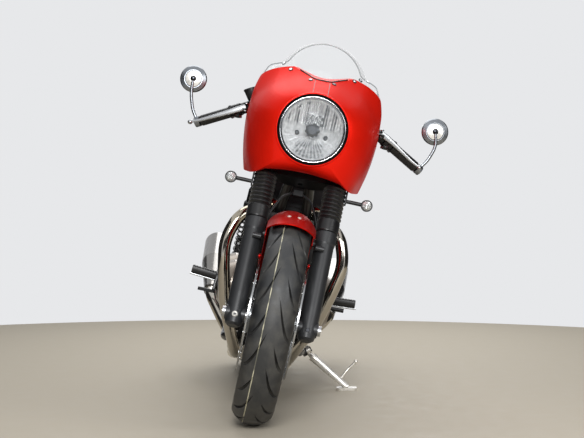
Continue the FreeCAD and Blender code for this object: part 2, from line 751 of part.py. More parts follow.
def headlamp_shell():
    """Lamp bowl with its bright ring and the rubber gasket against the fairing."""
    inner = LAMP_LENS_RADIUS + 0.5
    ring = LAMP_RING_RADIUS
    profile = [
        (inner, -10), (ring - 3, -10), (ring, -6), (ring, 30), (88, 60), (62, 92), (26, 104), (0, 104),
        (0, 101), (25, 101), (60, 89), (85, 58), (inner, 24),
    ]
    bowl = turned(profile, LAMP_CENTRE, Y)
    nose = SHELL[0][0] - LAMP_CENTRE.y
    gasket = turned([
        (ring - 1, nose - 3.5), (LAMP_GASKET_RADIUS - 1.5, nose - 3.5), (LAMP_GASKET_RADIUS, nose - 2),
        (LAMP_GASKET_RADIUS, nose - SEAT_GAP), (ring - 1, nose - SEAT_GAP)], LAMP_CENTRE, Y)
    return fused(bowl, gasket)


def headlamp_lens():
    """Domed lens just inside the ring."""
    edge = LAMP_LENS_RADIUS
    return turned([(0, -14), (30, -13), (60, -9.5), (edge, -4), (edge, 4), (0, 4)], LAMP_CENTRE, Y)


def lamp_bracket():
    """Clamps round the stanchions with arms to the lamp bowl and the fairing."""
    pieces = []
    bore = STANCHION_RADIUS + RUNNING_FIT
    for station in (520.0, 600.0):
        pieces.append(on_fork(rod(Vector(LEG_X, 0, station), Vector(LEG_X, 0, station + 16.0), 26.0)))
    arm_low = fork_point(LEG_X, -22, 528.0)
    arm_high = fork_point(LEG_X, -22, 608.0)
    lamp_eye = Vector(101.5, 108, LAMP_CENTRE.z)
    pieces.append(rod(arm_low, lamp_eye, 6.0))
    pieces.append(rod(arm_high, lamp_eye, 6.0))
    pieces.append(rod(lamp_eye - X * 5.0, lamp_eye + X * 6.0, 12.0))
    cutter = on_fork(rod(Vector(LEG_X, 0, 500), Vector(LEG_X, 0, 640), bore))
    return fused(*pieces).cut(cutter)


def instruments():
    """Two round dials on a plate that stands on the upper yoke."""
    facing = Vector(0, 0.58, 0.82).normalize()
    pieces = []
    for side in (-1, 1):
        centre = Vector(side * 50, 206, 996)
        profile = [(0, -30), (26, -30), (40, -20), (42, 8), (43, 10), (43, 18), (39, 18), (38, 14), (0, 14)]
        pieces.append(turned(profile, centre, facing))
    plate = box((-70, 70), (180, 228), (962, 968))
    foot = fork_point(0, -10, UPPER_YOKE + UPPER_YOKE_HEIGHT + 2 * SEAT_GAP)
    post = rod(foot, foot + STEER_AXIS * 34.0 - Y * 10.0, 9.0)
    bridge = box((-46, 46), (200, 262), (960, 968))
    return fused(*pieces, plate, bridge, post)


def front_indicator():
    """Ball lamp on a stalk from a tab beside the lower yoke."""
    tab = on_fork(softened(box((LEG_X + 34.8, LEG_X + 38.8), (-12, 12),
        (LOWER_YOKE - 48, LOWER_YOKE + 20)), 5.0, X))
    ball_centre = INDICATOR_BALL
    root = Vector(LEG_X + 36.8, ball_centre.y, ball_centre.z)
    stalk = rod(root, ball_centre, 6.0)
    return fused(tab, stalk, ball(ball_centre, INDICATOR_RADIUS))


def brake_hoses():
    """Hoses from the calipers up to a splitter behind the lower yoke."""
    route = [
        fork_point(88, 90, 140.5), fork_point(86, 80, 225), fork_point(80, 56, 335),
        fork_point(44, 62, 418), fork_point(12, 70, 438),
    ]
    hose = pipe(route, 3.5)
    block = on_fork(box((-14, 14), (62, 76), (428, 446)))
    return fused(hose, mirrored(hose), block)


def steering_pieces():
    return {
        "lower_yoke": lower_yoke(),
        "upper_yoke": upper_yoke(),
        "fork_stanchions": pair(stanchion()),
        "fork_gaiters": pair(fork_gaiter()),
        "fork_lowers": pair(fork_lower()),
        "front_axle": front_axle(),
        "front_calipers": pair(front_caliper()),
        "front_mudguard": front_mudguard(),
        "clip_on_bars": pair(clip_on()),
        "grips": pair(grip()),
        "hand_controls": Part.makeCompound([hand_control(False, LEVER_LEFT),
        mirrored(hand_control(True, LEVER_RIGHT))]),
        "mirrors": Part.makeCompound([mirror_assembly(MIRROR_LEFT),
        mirrored(mirror_assembly(MIRROR_RIGHT))]),
        "fairing": fairing(),
        "windscreen": windscreen(),
        "headlamp_shell": headlamp_shell(),
        "headlamp_lens": headlamp_lens(),
        "lamp_brackets": pair(lamp_bracket()),
        "instruments": instruments(),
        "front_indicators": pair(front_indicator()),
        "brake_hoses": brake_hoses(),
    }


# ---------------------------------------------------------------- frame
def backbone_route():
    """Centre line of the backbone, from the headstock's back to the cross tube."""
    return [fork_point(0, YOKE_OFFSET + 20, 606), Vector(0, 470, 866), Vector(0, 748, 792)]


def headstock_frame():
    """Headstock, backbone and its gusset."""
    low = fork_point(0, YOKE_OFFSET, LOWER_YOKE + LOWER_YOKE_HEIGHT + HEADSTOCK_GAP)
    high = fork_point(0, YOKE_OFFSET, UPPER_YOKE - HEADSTOCK_GAP)
    tube = rod(low, high, HEADSTOCK_RADIUS)
    backbone = pipe(backbone_route(), BACKBONE_RADIUS)
    gusset = prism(outline(
        low + Vector(-3, 8, 20), low + Vector(-3, 24, 80) + STEER_AXIS * 16, Vector(-3, 420, 862),
        Vector(-3, 400, 800)), X * 6)
    cross = rod(Vector(-RAIL_HALF_WIDTH, 748, 790), Vector(RAIL_HALF_WIDTH, 748, 790), 14.0)
    bore = rod(low - STEER_AXIS, high + STEER_AXIS, STEM_RADIUS + RUNNING_FIT)
    return fused(tube, backbone, gusset, cross).cut(bore)


def cradle_route():
    """Centre line of the left cradle tube, from the headstock down and round."""
    half = CRADLE_HALF_WIDTH
    return [
        Vector(22, 244, 776), Vector(46, 398, 612), Vector(56, 424, 330), Vector(66, 440, 196),
        Vector(half, 520, CRADLE_BOTTOM),
        Vector(half, 790, CRADLE_BOTTOM), Vector(half, 838, 300), Vector(half, 838, 560),
        Vector(RAIL_HALF_WIDTH, 850, 757),
    ]


def cradle_side(side):
    """One side of the cradle: downtube, lower rail, pivot plate and rear upright."""
    half = CRADLE_HALF_WIDTH
    tube = pipe(cradle_route(), CRADLE_RADIUS)
    plate = softened(box((half - 8, half + 8), (824, SWING_PIVOT.y + 26), (300, 462)), 20.0, X)
    pivot = SWING_PIVOT + X * half
    plate = plate.cut(rod(pivot - X * 20, pivot + X * 20, 10.0 + RUNNING_FIT))
    head_low = fork_point(0, YOKE_OFFSET, LOWER_YOKE)
    head_high = fork_point(0, YOKE_OFFSET, UPPER_YOKE)
    seats = Part.makeCompound([
        rod(head_low, head_high, HEADSTOCK_RADIUS + SEAT_GAP),
        rod(Vector(RAIL_HALF_WIDTH, 748, 777), Vector(RAIL_HALF_WIDTH, 880, 768), RAIL_RADIUS + SEAT_GAP)])
    piece = fused(tube, plate).cut(seats)
    if side > 0:
        return fused(piece, stand_bracket())
    return mirrored(piece)


def stand_bracket():
    """Lug under the left rail that carries the side stand's pivot bolt."""
    axis = stand_axis()
    face = STAND_PIVOT - axis * 7.3
    lug = rod(face - axis * 12.0, face, 15.0)
    web = rod(Vector(CRADLE_HALF_WIDTH, 772, CRADLE_BOTTOM), face - axis * 8.0, 8.0)
    bolt = rod(face - axis * 2.0, STAND_PIVOT + axis * 12.0, 6.0)
    head = rod(STAND_PIVOT + axis * 7.3, STAND_PIVOT + axis * 12.0, 10.0)
    return fused(lug, web, bolt, head)


def seat_rail_route():
    """Centre line of the left rail, from the backbone's cross tube to the tail."""
    return [
        Vector(RAIL_HALF_WIDTH, 748, 777), Vector(RAIL_HALF_WIDTH, 880, 768),
        Vector(RAIL_HALF_WIDTH, WHEELBASE - 215, 764), Vector(86, TAIL_LOOP_Y, 800),
        Vector(70, WHEELBASE + 125, 822)]


def seat_rail():
    """Left rail of the seat frame with its shock ear."""
    rail = pipe(seat_rail_route(), RAIL_RADIUS, bend=RAIL_BEND)
    ear = rod(SHOCK_UPPER - X * 30.0, SHOCK_UPPER - X * 12.0, 12.0)
    stem = rod(SHOCK_UPPER - X * 24.0, Vector(RAIL_HALF_WIDTH, SHOCK_UPPER.y, 764), 9.0)
    return fused(rail, ear, stem)


def seat_frame():
    left = seat_rail()
    loop = rod(Vector(-86, TAIL_LOOP_Y, 800), Vector(86, TAIL_LOOP_Y, 800), 9.0)
    middle = rod(Vector(-RAIL_HALF_WIDTH, 1010, 766), Vector(RAIL_HALF_WIDTH, 1010, 766), 9.0)
    cross = rod(Vector(-RAIL_HALF_WIDTH - 20, 748, 790), Vector(RAIL_HALF_WIDTH + 20, 748, 790),
        14.0 + SEAT_GAP)
    return fused(left, mirrored(left), loop, middle).cut(cross)


def arm_top(y):
    """Height of the left arm's upper edge."""
    share = (y - 930) / (WHEELBASE - 75 - 930)
    return 388 + (344 - 388) * share


def swingarm():
    """Two box arms on a pivot tube, with shock ears and paddock-stand bobbins."""
    pivot = SWING_PIVOT
    inner = CRADLE_HALF_WIDTH - 8 - 1.0
    tube = rod(pivot - X * inner, pivot + X * inner, SWING_PIVOT_RADIUS)
    low = ARM_OFFSET - ARM_WIDTH / 2
    shape = outline(
        Vector(low, 930, 322), Vector(low, WHEELBASE - 85, 280), Vector(low, WHEELBASE + 35, 284),
        (Vector(low, WHEELBASE + 63, 312), Vector(low, WHEELBASE + 35, 340)),
        Vector(low, WHEELBASE - 75, 344), Vector(low, 930, 388))
    arm = prism(shape, X * ARM_WIDTH)
    joiner = box((low - 12, low + ARM_WIDTH), (921.5, 985), (326, 384))
    neck = box((62, 112), (872, 985), (340, 380))
    bridge = box((-112, 112), (940, 975), (330, 378))
    slot_hole = rod(Vector(low - 5, WHEELBASE, REAR_TYRE_RADIUS),
        Vector(low + 40, WHEELBASE, REAR_TYRE_RADIUS), REAR_AXLE_RADIUS + RUNNING_FIT)
    ear = rod(Vector(low + ARM_WIDTH - 8, SHOCK_LOWER.y, SHOCK_LOWER.z),
        Vector(SHOCK_LOWER.x - 9.5, SHOCK_LOWER.y, SHOCK_LOWER.z), 10.0)
    ear_web = box((low + 6, low + ARM_WIDTH - 1), (SHOCK_LOWER.y - 16, SHOCK_LOWER.y + 16),
        (335, SHOCK_LOWER.z))
    bobbin_at = Vector(low + ARM_WIDTH, WHEELBASE + 47, 300)
    bobbin_hole = rod(bobbin_at - X * 22, bobbin_at + X, BOBBIN_THREAD_RADIUS)
    side = fused(arm, joiner, neck, ear, ear_web).cut(slot_hole).cut(bobbin_hole)
    body = fused(tube, bridge, side, mirrored(side))
    return body.cut(rod(pivot - X * (inner + 24), pivot + X * (inner + 24), 10.0 + RUNNING_FIT))


def rear_axle():
    end = ARM_OFFSET + ARM_WIDTH / 2 + SEAT_GAP
    spindle = rod(REAR_AXLE - X * (end + 12), REAR_AXLE + X * (end + 12), REAR_AXLE_RADIUS)
    nuts = [rod(REAR_AXLE + X * (side * end), REAR_AXLE + X * (side * (end + 12)), 17.0) for side in (-1,
        1)]
    spacers = [
        rod(REAR_AXLE + X * (side * 100.3),
        REAR_AXLE + X * (side * (ARM_OFFSET - ARM_WIDTH / 2 - SEAT_GAP)), 18.0)
        for side in (-1, 1)
    ]
    nut_end = CRADLE_HALF_WIDTH + 21
    swing = rod(SWING_PIVOT - X * (nut_end - 6), SWING_PIVOT + X * (nut_end - 6), 10.0)
    swing_nuts = [rod(SWING_PIVOT + X * (side * (CRADLE_HALF_WIDTH + 8.3)),
        SWING_PIVOT + X * (side * nut_end), 16.0) for side in (-1, 1)]
    return Part.makeCompound([fused(spindle, *nuts, *spacers), fused(swing, *swing_nuts)])


def shock():
    """Twin-eye damper with a coil spring between its seats."""
    axis = (SHOCK_UPPER - SHOCK_LOWER)
    length = axis.Length
    run = axis.normalize()
    eyes = [rod(point - X * 9.0, point + X * 9.0, 13.0) for point in (SHOCK_LOWER, SHOCK_UPPER)]
    profile = [(0, 8), (9, 8), (9, 30), (23, 32), (23, 40)]
    turns = 9
    spring = length - 150.0
    for turn in range(turns):
        base = 42.0 + turn * spring / turns
        profile += [(20.0, base), (26.0, base + 0.3 * spring / turns), (26.0, base + 0.7 * spring / turns)]
    top = 42.0 + spring
    profile += [(20.0, top), (25, top + 3), (25, top + 22), (19, top + 26), (19, length - 30),
        (12, length - 12), (0, length - 8)]
    body = turned(profile, SHOCK_LOWER, run)
    return fused(body, *eyes)


# ---------------------------------------------------------------- engine
def crankcase():
    """Crankcase with sump, sprocket pocket, output shaft and the bosses that meet the frame."""
    half = CRANKCASE_HALF_WIDTH
    shape = outline(
        Vector(-half, 470, 250), Vector(-half, 470, 455), Vector(-half, 700, 470), Vector(-half, 830, 440),
        (Vector(-half, 852, 380), Vector(-half, 838, 320)), Vector(-half, 800, 215),
        Vector(-half, 520, 205))
    body = prism(shape, X * (2 * half))
    body = softened(body, 10.0, X)
    sump = softened(box((-70, 70), (530, 720), (172, 208)), 12.0, Z)
    inner = CHAIN_OFFSET - CHAIN_WIDTH / 2 - 3.0
    pocket = box((inner, half + 1), (742, 860), (304, 444))
    shaft = rod(Vector(inner - 4, DRIVE_CENTRE.y, DRIVE_CENTRE.z), DRIVE_CENTRE + X * 8, 12.0)
    sprocket_radius = pitch_radius(FRONT_TEETH) - CHAIN_HALF_HEIGHT - 1.0
    sprocket = rod(DRIVE_CENTRE - X * 3, DRIVE_CENTRE + X * 3, sprocket_radius)
    mounts = [rod(Vector(side * 61, 474, 262), Vector(side * 61, 432, 262), 11.0) for side in (-1, 1)]
    mounts.append(rod(Vector(-half + 4, 838, 400), Vector(-CRADLE_HALF_WIDTH, 838, 400), 12.0))
    return fused(fused(body, sump).cut(pocket), shaft, sprocket, *mounts).cut(frame_tubes_clear())


def cylinder_block():
    """Twin barrels as one finned block."""
    pieces = [box((-104, 104), (488, 640), (470.6, 470 + CYLINDER_FINS * FIN_PITCH + 22))]
    for index in range(CYLINDER_FINS):
        low = 484.0 + index * FIN_PITCH
        fin = softened(box((-128, 128), (470, 656), (low, low + FIN_THICKNESS)), 26.0, Z)
        pieces.append(fin)
    return fused(*pieces)


def cylinder_head():
    """Head with exhaust ports, a few fins and the rocker cover on top."""
    base = 470 + CYLINDER_FINS * FIN_PITCH + 22 + SEAT_GAP
    body = softened(box((-112, 112), (482, 648), (base, base + 80)), 14.0, Z)
    pieces = [body]
    for index in range(4):
        low = base + 14 + index * 16.0
        pieces.append(softened(box((-126, 126), (472, 656), (low, low + FIN_THICKNESS)), 24.0, Z))
    cover = softened(box((-104, 104), (500, 632), (base + 80, base + 118)), 22.0, Z)
    pieces.append(cover)
    for side in (-1, 1):
        port = Vector(side * 76, 482, base + 34)
        pieces.append(rod(port + Y * 20, port - Vector(0, 22, 4), 27.0))
    return fused(*pieces)


def engine_covers():
    """Alternator cover at the left and clutch cover at the right."""
    gap = SEAT_GAP
    def cover(sign, y, z, radius, depth, dome):
        face = sign * (CRANKCASE_HALF_WIDTH + gap)
        start = Vector(face, y, z)
        profile = [(0, 0), (radius, 0), (radius, depth * 0.55), (radius - 8, depth * 0.8),
            (radius - 26, depth), (dome, depth), (dome - 6, depth + 4), (0, depth + 4)]
        return turned(profile, start, X * sign)

    left = fused(
        cover(1, 560, 350, 92, 80, 40), cover(1, 700, 380, 72, 58, 30), cover(1, 774, 372, 44, 30, 26))
    right = fused(
        cover(-1, 560, 345, 84, 66, 40), cover(-1, 672, 352, 96, 74, 48))
    return Part.makeCompound([left, right])


def intake_bodies():
    """Throttle bodies behind the head, leading to an air box under the seat."""
    base = 470 + CYLINDER_FINS * FIN_PITCH + 22
    pieces = [softened(box((-86, 86), (732, 830), (600, 742)), 18.0, Y)]
    for side in (-1, 1):
        centre = Vector(side * 56, 656.5, base + 44)
        pieces.append(rod(centre, centre + Y * 90, 24.0))
        pieces.append(rod(centre + Y * 24, centre + Y * 58, 31.0))
    return fused(*pieces)


def radiator():
    """Cooler core between side tanks, ahead of the downtubes."""
    core = box((-74, 74), (346, 372), (352, 606))
    tanks = [softened(box((x - 11, x + 11), (340, 378), (344, 614)), 9.0, Z) for x in (-82, 82)]
    neck = rod(Vector(82, 358, 604), Vector(82, 358, 632), 11.0)
    cap = rod(Vector(82, 358, 626), Vector(82, 358, 636), 15.0)
    shroud = rod(Vector(0, 370, 480), Vector(0, 379, 480), 66.0)
    mounts = [rod(Vector(x, 370, 596), Vector(x, 384, 596), 7.0) for x in (-46, 46)]
    return fused(core, *tanks, neck, cap, shroud, *mounts).cut(frame_tubes_clear())


def frame_tubes_clear():
    tube = pipe(cradle_route(), CRADLE_RADIUS + SEAT_GAP)
    return Part.makeCompound([tube, mirrored(tube)])


# ---------------------------------------------------------------- exhaust
def header_route():
    base = 470 + CYLINDER_FINS * FIN_PITCH + 22
    return [
        Vector(76, 452, base + 30), Vector(92, 396, base + 24), Vector(160, 356, base - 10),
        Vector(190, 345, 492),
        Vector(174, 352, 400), Vector(146, 378, 290), Vector(104, 408, 196), Vector(82, 476, 139),
        Vector(80, 566, 136),
    ]


def exhaust_headers():
    """Header pipes, collector box and link pipes as one welded system."""
    pipe_left = pipe(header_route(), HEADER_RADIUS)
    run = (SILENCER_END - SILENCER_START).normalize()
    start = SILENCER_START + (SILENCER_END - SILENCER_START) * 0.04
    link_route = [
        Vector(92, 716, 135), Vector(94, 800, 137), Vector(98, 866, 146), Vector(140, 905, 186),
        start - run * 62.0, start - run * 0.5,
    ]
    link = pipe(link_route, 21.0)
    box_shape = softened(box((-108, 108), (560, 724), (112, 159)), 20.0, Y)
    port_face = header_route()[0] + Vector(0, 2, 1)
    flange = taper(port_face, port_face + Vector(4, -20, -2), 30.0, 22.0)
    side = [pipe_left, link, flange]
    return fused(box_shape, *side, *[mirrored(piece) for piece in side])


def silencer():
    """Reverse-taper silencer with an end cap and outlet."""
    axis = SILENCER_END - SILENCER_START
    length = axis.Length
    start = SILENCER_START + axis * 0.04
    run = axis.normalize()
    full = length * 0.96
    inlet = 21.0 + SEAT_GAP
    profile = [
        (24, -24), (27, -22), (30, 30), (SILENCER_RADIUS, 250), (SILENCER_RADIUS, full - 16),
        (SILENCER_RADIUS - 6, full),
        (26, full), (26, full + 22), (22, full + 22), (22, full - 60), (0, full - 60), (0, SEAT_GAP),
        (inlet, SEAT_GAP), (inlet, -24),
    ]
    return turned(profile, start, run)


# ---------------------------------------------------------------- bodywork
# tank sections: y, half width at the knee, z of the widest line, bottom z, shoulder (x, z), top z
TANK = (
    (352, 66, 872, 812, 50, 930, 944),
    (430, 118, 866, 784, 92, 944, 972),
    (540, 146, 860, 776, 112, 950, 988),
    (660, 128, 854, 776, 98, 928, 968),
    (760, 98, 846, 782, 76, 884, 912),
    (806, 84, 836, 792, 64, 858, 872),
)


def tank_wire(section):
    y, half, wide_z, bottom, shoulder, shoulder_z, top = section
    floor = half * 0.72

    def spot(x, z):
        return Vector(x, y, z)

    return outline(
        spot(-floor, bottom), spot(floor, bottom), (spot(half, wide_z), spot(shoulder, shoulder_z)),
        (spot(0, top), spot(-shoulder, shoulder_z)), (spot(-half, wide_z), spot(-floor, bottom)))


def fuel_tank():
    """Long tank with knee recesses, a tunnel for the backbone and a filler seat."""
    body = Part.makeLoft([tank_wire(section) for section in TANK], True, False)
    low_x = -BACKBONE_RADIUS - 6
    front, knee, back = backbone_route()
    tunnel_side = [
        Vector(low_x, front.y, front.z), Vector(low_x, knee.y, knee.z), Vector(low_x, back.y, back.z),
        Vector(low_x, back.y, 740), Vector(low_x, front.y, 740)]
    tunnel = fused(
        pipe(backbone_route(), BACKBONE_RADIUS + 6.0),
        prism(outline(*tunnel_side), X * (2 * BACKBONE_RADIUS + 12)),
        box((-120, 120), (726, 830), (740, 812)))
    seat = rod(CAP_CENTRE - CAP_AXIS * 40.0, CAP_CENTRE + CAP_AXIS * 40.0, 41.0)
    hollow = rod(CAP_CENTRE - CAP_AXIS * 60.0, CAP_CENTRE + CAP_AXIS * 40.0, 20.0)
    body = body.cut(tunnel).cut(seat)
    ring_low = CAP_CENTRE - CAP_AXIS * 16.0
    ring = rod(ring_low, CAP_CENTRE - CAP_AXIS * 1.0, 45.0)
    ring = ring.cut(rod(CAP_CENTRE - CAP_AXIS * 9.0, CAP_CENTRE + CAP_AXIS * 9.0, 39.5))
    ears = hinge_ears()
    return fused(body, rod(CAP_CENTRE - CAP_AXIS * 42.0, ring_low, 41.5), ring, ears).cut(hollow)


def hinge_ears():
    """Two knuckles and the pin at the front of the filler seat."""
    knuckles = [rod(CAP_HINGE + X * low, CAP_HINGE + X * (low + 6), 4.5) for low in (-15, 9)]
    webs = [box((low, low + 6), (CAP_HINGE.y - 4, CAP_HINGE.y + 9),
        (CAP_HINGE.z - 9, CAP_HINGE.z)) for low in (-15, 9)]
    pin = rod(CAP_HINGE - X * 14, CAP_HINGE + X * 14, 1.8)
    return fused(pin, *knuckles, *webs)


def filler_cap():
    """Flip-up filler cap with its hinge knuckle."""
    start = CAP_CENTRE - CAP_AXIS * 7.0
    lid = turned([(0, 0), (CAP_RADIUS, 0), (CAP_RADIUS, 9), (CAP_RADIUS - 4, 13), (0, 15)], start, CAP_AXIS)
    knuckle = rod(CAP_HINGE - X * 8.4, CAP_HINGE + X * 8.4, 4.5)
    bridge = box((-8.4, 8.4), (CAP_HINGE.y, CAP_HINGE.y + 18), (CAP_HINGE.z - 0.5, CAP_HINGE.z + 4.0))
    return fused(lid, knuckle, bridge).cut(rod(CAP_HINGE - X * 20, CAP_HINGE + X * 20, 1.8 + RUNNING_FIT))


def rail_top(y):
    """Height of the seat rail's upper side."""
    front, knee, back = seat_rail_route()[:3]
    low, high = (front, knee) if y < knee.y else (knee, back)
    return low.z + (high.z - low.z) * (y - low.y) / (high.y - low.y) + RAIL_RADIUS


def seat():
    """Low saddle; soft, so a plain closed form."""
    # y, half width, edge z, top z
    sections = (
        (818, 84, 800, 822), (900, 104, 800, 812), (1020, 118, 800, 806), (COWL_START - 3, 112, 806, 824))
    wires = []
    for y, half, edge, top in sections:
        bottom = rail_top(y) + SADDLE_GAP
        wires.append(outline(
            Vector(-half + 8, y, bottom), Vector(half - 8, y, bottom), Vector(half, y, edge),
            (Vector(0, y, top), Vector(-half, y, edge))))
    return Part.makeLoft(wires, True, False)


def seat_cowl():
    """Rounded tail hump behind the saddle."""
    # y, half width, bottom z, edge z, top z
    sections = (
        (COWL_START, 112, 782, 812, 872), (COWL_START + 117, 106, 790, 822, 888),
        (TAIL_LOOP_Y, 88, 812, 838, 884), (COWL_END, 56, 832, 846, 866))
    wires = []
    for y, half, bottom, edge, top in sections:
        wires.append(outline(
            Vector(-half + 8, y, bottom), Vector(half - 8, y, bottom), Vector(half, y, edge),
            (Vector(0, y, top), Vector(-half, y, edge))))
    body = Part.makeLoft(wires, True, False)
    rails = fused(seat_frame_clear(), mirrored(seat_frame_clear()),
        rod(Vector(-90, TAIL_LOOP_Y, 800), Vector(90, TAIL_LOOP_Y, 800), 12.0))
    return body.cut(rails)


def seat_frame_clear():
    """The left rail with room round it, run on past its end."""
    route = seat_rail_route()
    route[-1] = route[-2] + (route[-1] - route[-2]) * 2.0
    return pipe(route, RAIL_RADIUS + 1.0, bend=RAIL_BEND)


def side_panel():
    """Left side panel under the seat rail."""
    out = CRADLE_HALF_WIDTH + CRADLE_RADIUS - 3.0
    shape = outline(
        Vector(out, 796, 742), Vector(out, 960, 740), (Vector(out, 990, 680), Vector(out, 950, 640)),
        Vector(out, 850, 600), (Vector(out, 800, 640), Vector(out, 796, 742)))
    pin = rod(Vector(86.3, 812, 690), Vector(out + 1, 812, 690), 5.0)
    return fused(prism(shape, X * 6.0), pin)


def rear_mudguard():
    """Inner guard over the rear tyre, with a bare plate holder and lamp bracket."""
    half = 84.0
    crown = 352.0
    edge = 332.0
    wall = 3.5
    def spot(x, r):
        return REAR_AXLE + Vector(x, 0, r)

    section = Part.Face(outline(
        spot(-half, edge), (spot(0, crown), spot(half, edge)), spot(half, edge - wall),
        (spot(0, crown - wall), spot(-half, edge - wall))))
    section.rotate(REAR_AXLE, X, 34.0)
    sheet = section.revolve(REAR_AXLE, X, -94.0)
    holder_face = WHEELBASE + 320
    holder = softened(box((-88, 88), (holder_face, holder_face + 5), (470, 590)), 10.0, Y)
    hole_at = [Vector(x, WHEELBASE + 322, 560) for x in (-60, 60)]
    holder = holder.cut(Part.makeCompound([rod(p - Y * 10, p + Y * 10, 3.0) for p in hole_at]))
    spine = prism(outline(
        Vector(-16, WHEELBASE + 239, 566), Vector(-16, WHEELBASE + 322, 590),
        Vector(-16, WHEELBASE + 322, 500), Vector(-16, WHEELBASE + 291, 490)), X * 32)
    post = rod(Vector(0, TAIL_LOOP_Y, 790.7), Vector(0, TAIL_LOOP_Y, 655), 9.0)
    return fused(sheet, holder, spine, post)


def rear_lamps():
    """Tail lamp under the cowl's end and two ball indicators on stalks."""
    face = COWL_END + SEAT_GAP
    tail = softened(box((-44, 44), (face, face + 30), (828, 866)), 12.0, Y)
    pieces = [tail]
    for side in (-1, 1):
        root = Vector(side * 40, WHEELBASE + 160, 832)
        tip = Vector(side * 128, WHEELBASE + 175, 800)
        pieces.append(fused(rod(root, tip, 5.0), ball(tip, INDICATOR_RADIUS)))
    return fused(*pieces)


# ---------------------------------------------------------------- running gear
def chain_line(offset, width_low):
    """Closed loop round both sprockets at a distance from the pitch line."""
    front = DRIVE_CENTRE
    rear = REAR_AXLE
    small = pitch_radius(FRONT_TEETH) + offset
    large = pitch_radius(REAR_TEETH) + offset
    run = Vector(0, rear.y - front.y, rear.z - front.z)
    spread = asin((large - small) / run.Length)
    slope = atan2(run.z, run.y)

    def spot(centre, radius, angle):
        return Vector(width_low, centre.y + radius * cos(angle), centre.z + radius * sin(angle))

    up = slope + pi / 2 + spread
    down = slope - pi / 2 - spread
    return outline(
        spot(front, small, up), (spot(front, small, slope + pi), spot(front, small, down)),
        spot(rear, large, down), (spot(rear, large, slope), spot(rear, large, up)))


def drive_chain():
    low = CHAIN_OFFSET - CHAIN_WIDTH / 2
    outer = prism(chain_line(CHAIN_HALF_HEIGHT, low), X * CHAIN_WIDTH)
    inner = prism(chain_line(-CHAIN_HALF_HEIGHT, low - 1), X * (CHAIN_WIDTH + 2))
    return outer.cut(inner)


def chain_guard():
    """Guard over the chain's upper run, carried by the left arm."""
    low = CHAIN_OFFSET - 11
    top = prism(outline(
        Vector(low, SWING_PIVOT.y + 130, 436), Vector(low, WHEELBASE - 85, 446),
        (Vector(low, WHEELBASE - 15, 450), Vector(low, WHEELBASE + 55, 440)),
        Vector(low, WHEELBASE + 55, 437), (Vector(low, WHEELBASE - 15, 447),
        Vector(low, WHEELBASE - 85, 443)), Vector(low, SWING_PIVOT.y + 130, 433)), X * 24)
    skirt = prism(outline(
        Vector(low + 21, SWING_PIVOT.y + 130, 436), Vector(low + 21, WHEELBASE - 85, 446),
        Vector(low + 21, WHEELBASE + 5, 447), Vector(low + 21, WHEELBASE - 35, 420),
        Vector(low + 21, SWING_PIVOT.y + 220, 404), Vector(low + 21, SWING_PIVOT.y + 130, 414)), X * 3)
    stays = [
        rod(Vector(118, y, arm_top(y - 6) + SEAT_GAP), Vector(118, y, 412), 6.0)
        for y in (SWING_PIVOT.y + 220, WHEELBASE - 125)]
    return fused(top, skirt, *[fused(stay, box((107, 120), (stay.BoundBox.YMin, stay.BoundBox.YMax),
        (404, 412))) for stay in stays])


def rear_caliper():
    """Caliper over the rear disc on a carrier plate round the axle."""
    x = -REAR_DISC_OFFSET
    carrier_low = x - 17.5
    carrier = prism(outline(
        Vector(carrier_low, WHEELBASE - 24, 312), Vector(carrier_low, WHEELBASE - 75, 372),
        Vector(carrier_low, WHEELBASE - 63, 430),
        Vector(carrier_low, WHEELBASE - 3, 430), Vector(carrier_low, WHEELBASE + 24, 312),
        (Vector(carrier_low, WHEELBASE, 288), Vector(carrier_low, WHEELBASE - 24, 312))), X * 5)
    carrier = carrier.cut(rod(REAR_AXLE - X * 130, REAR_AXLE - X * 90, 18.3))
    body = softened(box((x - 36, x + 22), (WHEELBASE - 73, WHEELBASE - 3), (372, 440)), 14.0, X)
    trim = box((-150, carrier_low - 0.01), (WHEELBASE - 115, WHEELBASE + 35), (270, 371))
    slot = rod(REAR_AXLE + X * (x - 4.5), REAR_AXLE + X * (x + 4.5), REAR_DISC_RADIUS + 3.0)
    return fused(carrier, body).cut(slot).cut(trim)


def footrest(side):
    """Hanger plate, rubber peg and the foot control of its side."""
    out = CRADLE_HALF_WIDTH + 33
    hanger = prism(outline(
        Vector(out - 10, 846, 470), Vector(out - 10, 900, 476), Vector(out - 10, 900, 420),
        Vector(out - 10, 812, 334),
        (Vector(out - 10, 786, 338), Vector(out - 10, 790, 366))), X * 7)
    standoff = rod(Vector(CRADLE_HALF_WIDTH + 8.3, 870, 446), Vector(out - 9, 870, 446), 8.0)
    boss = rod(Vector(out - 4, 800, 350), Vector(out + 48, 800, 350), 11.0)
    peg = rod(Vector(out + 44, 800, 350), Vector(out + 128, 800, 356), 12.0)
    pieces = [hanger, boss, peg, standoff]
    if side > 0:
        pieces.append(rod(Vector(out + 26, 800, 350), Vector(out + 26, 690, 330), 6.0))
        pieces.append(rod(Vector(out + 22, 690, 330), Vector(out + 88, 690, 332), 7.5))
    else:
        pieces.append(rod(Vector(out + 40, 800, 350), Vector(out + 40, 680, 306), 6.0))
        pieces.append(softened(box((out + 34, out + 92), (664, 696), (298, 308)), 5.0, Z))
    piece = fused(*pieces)
    return piece if side > 0 else mirrored(piece)


# ---------------------------------------------------------------- side stand

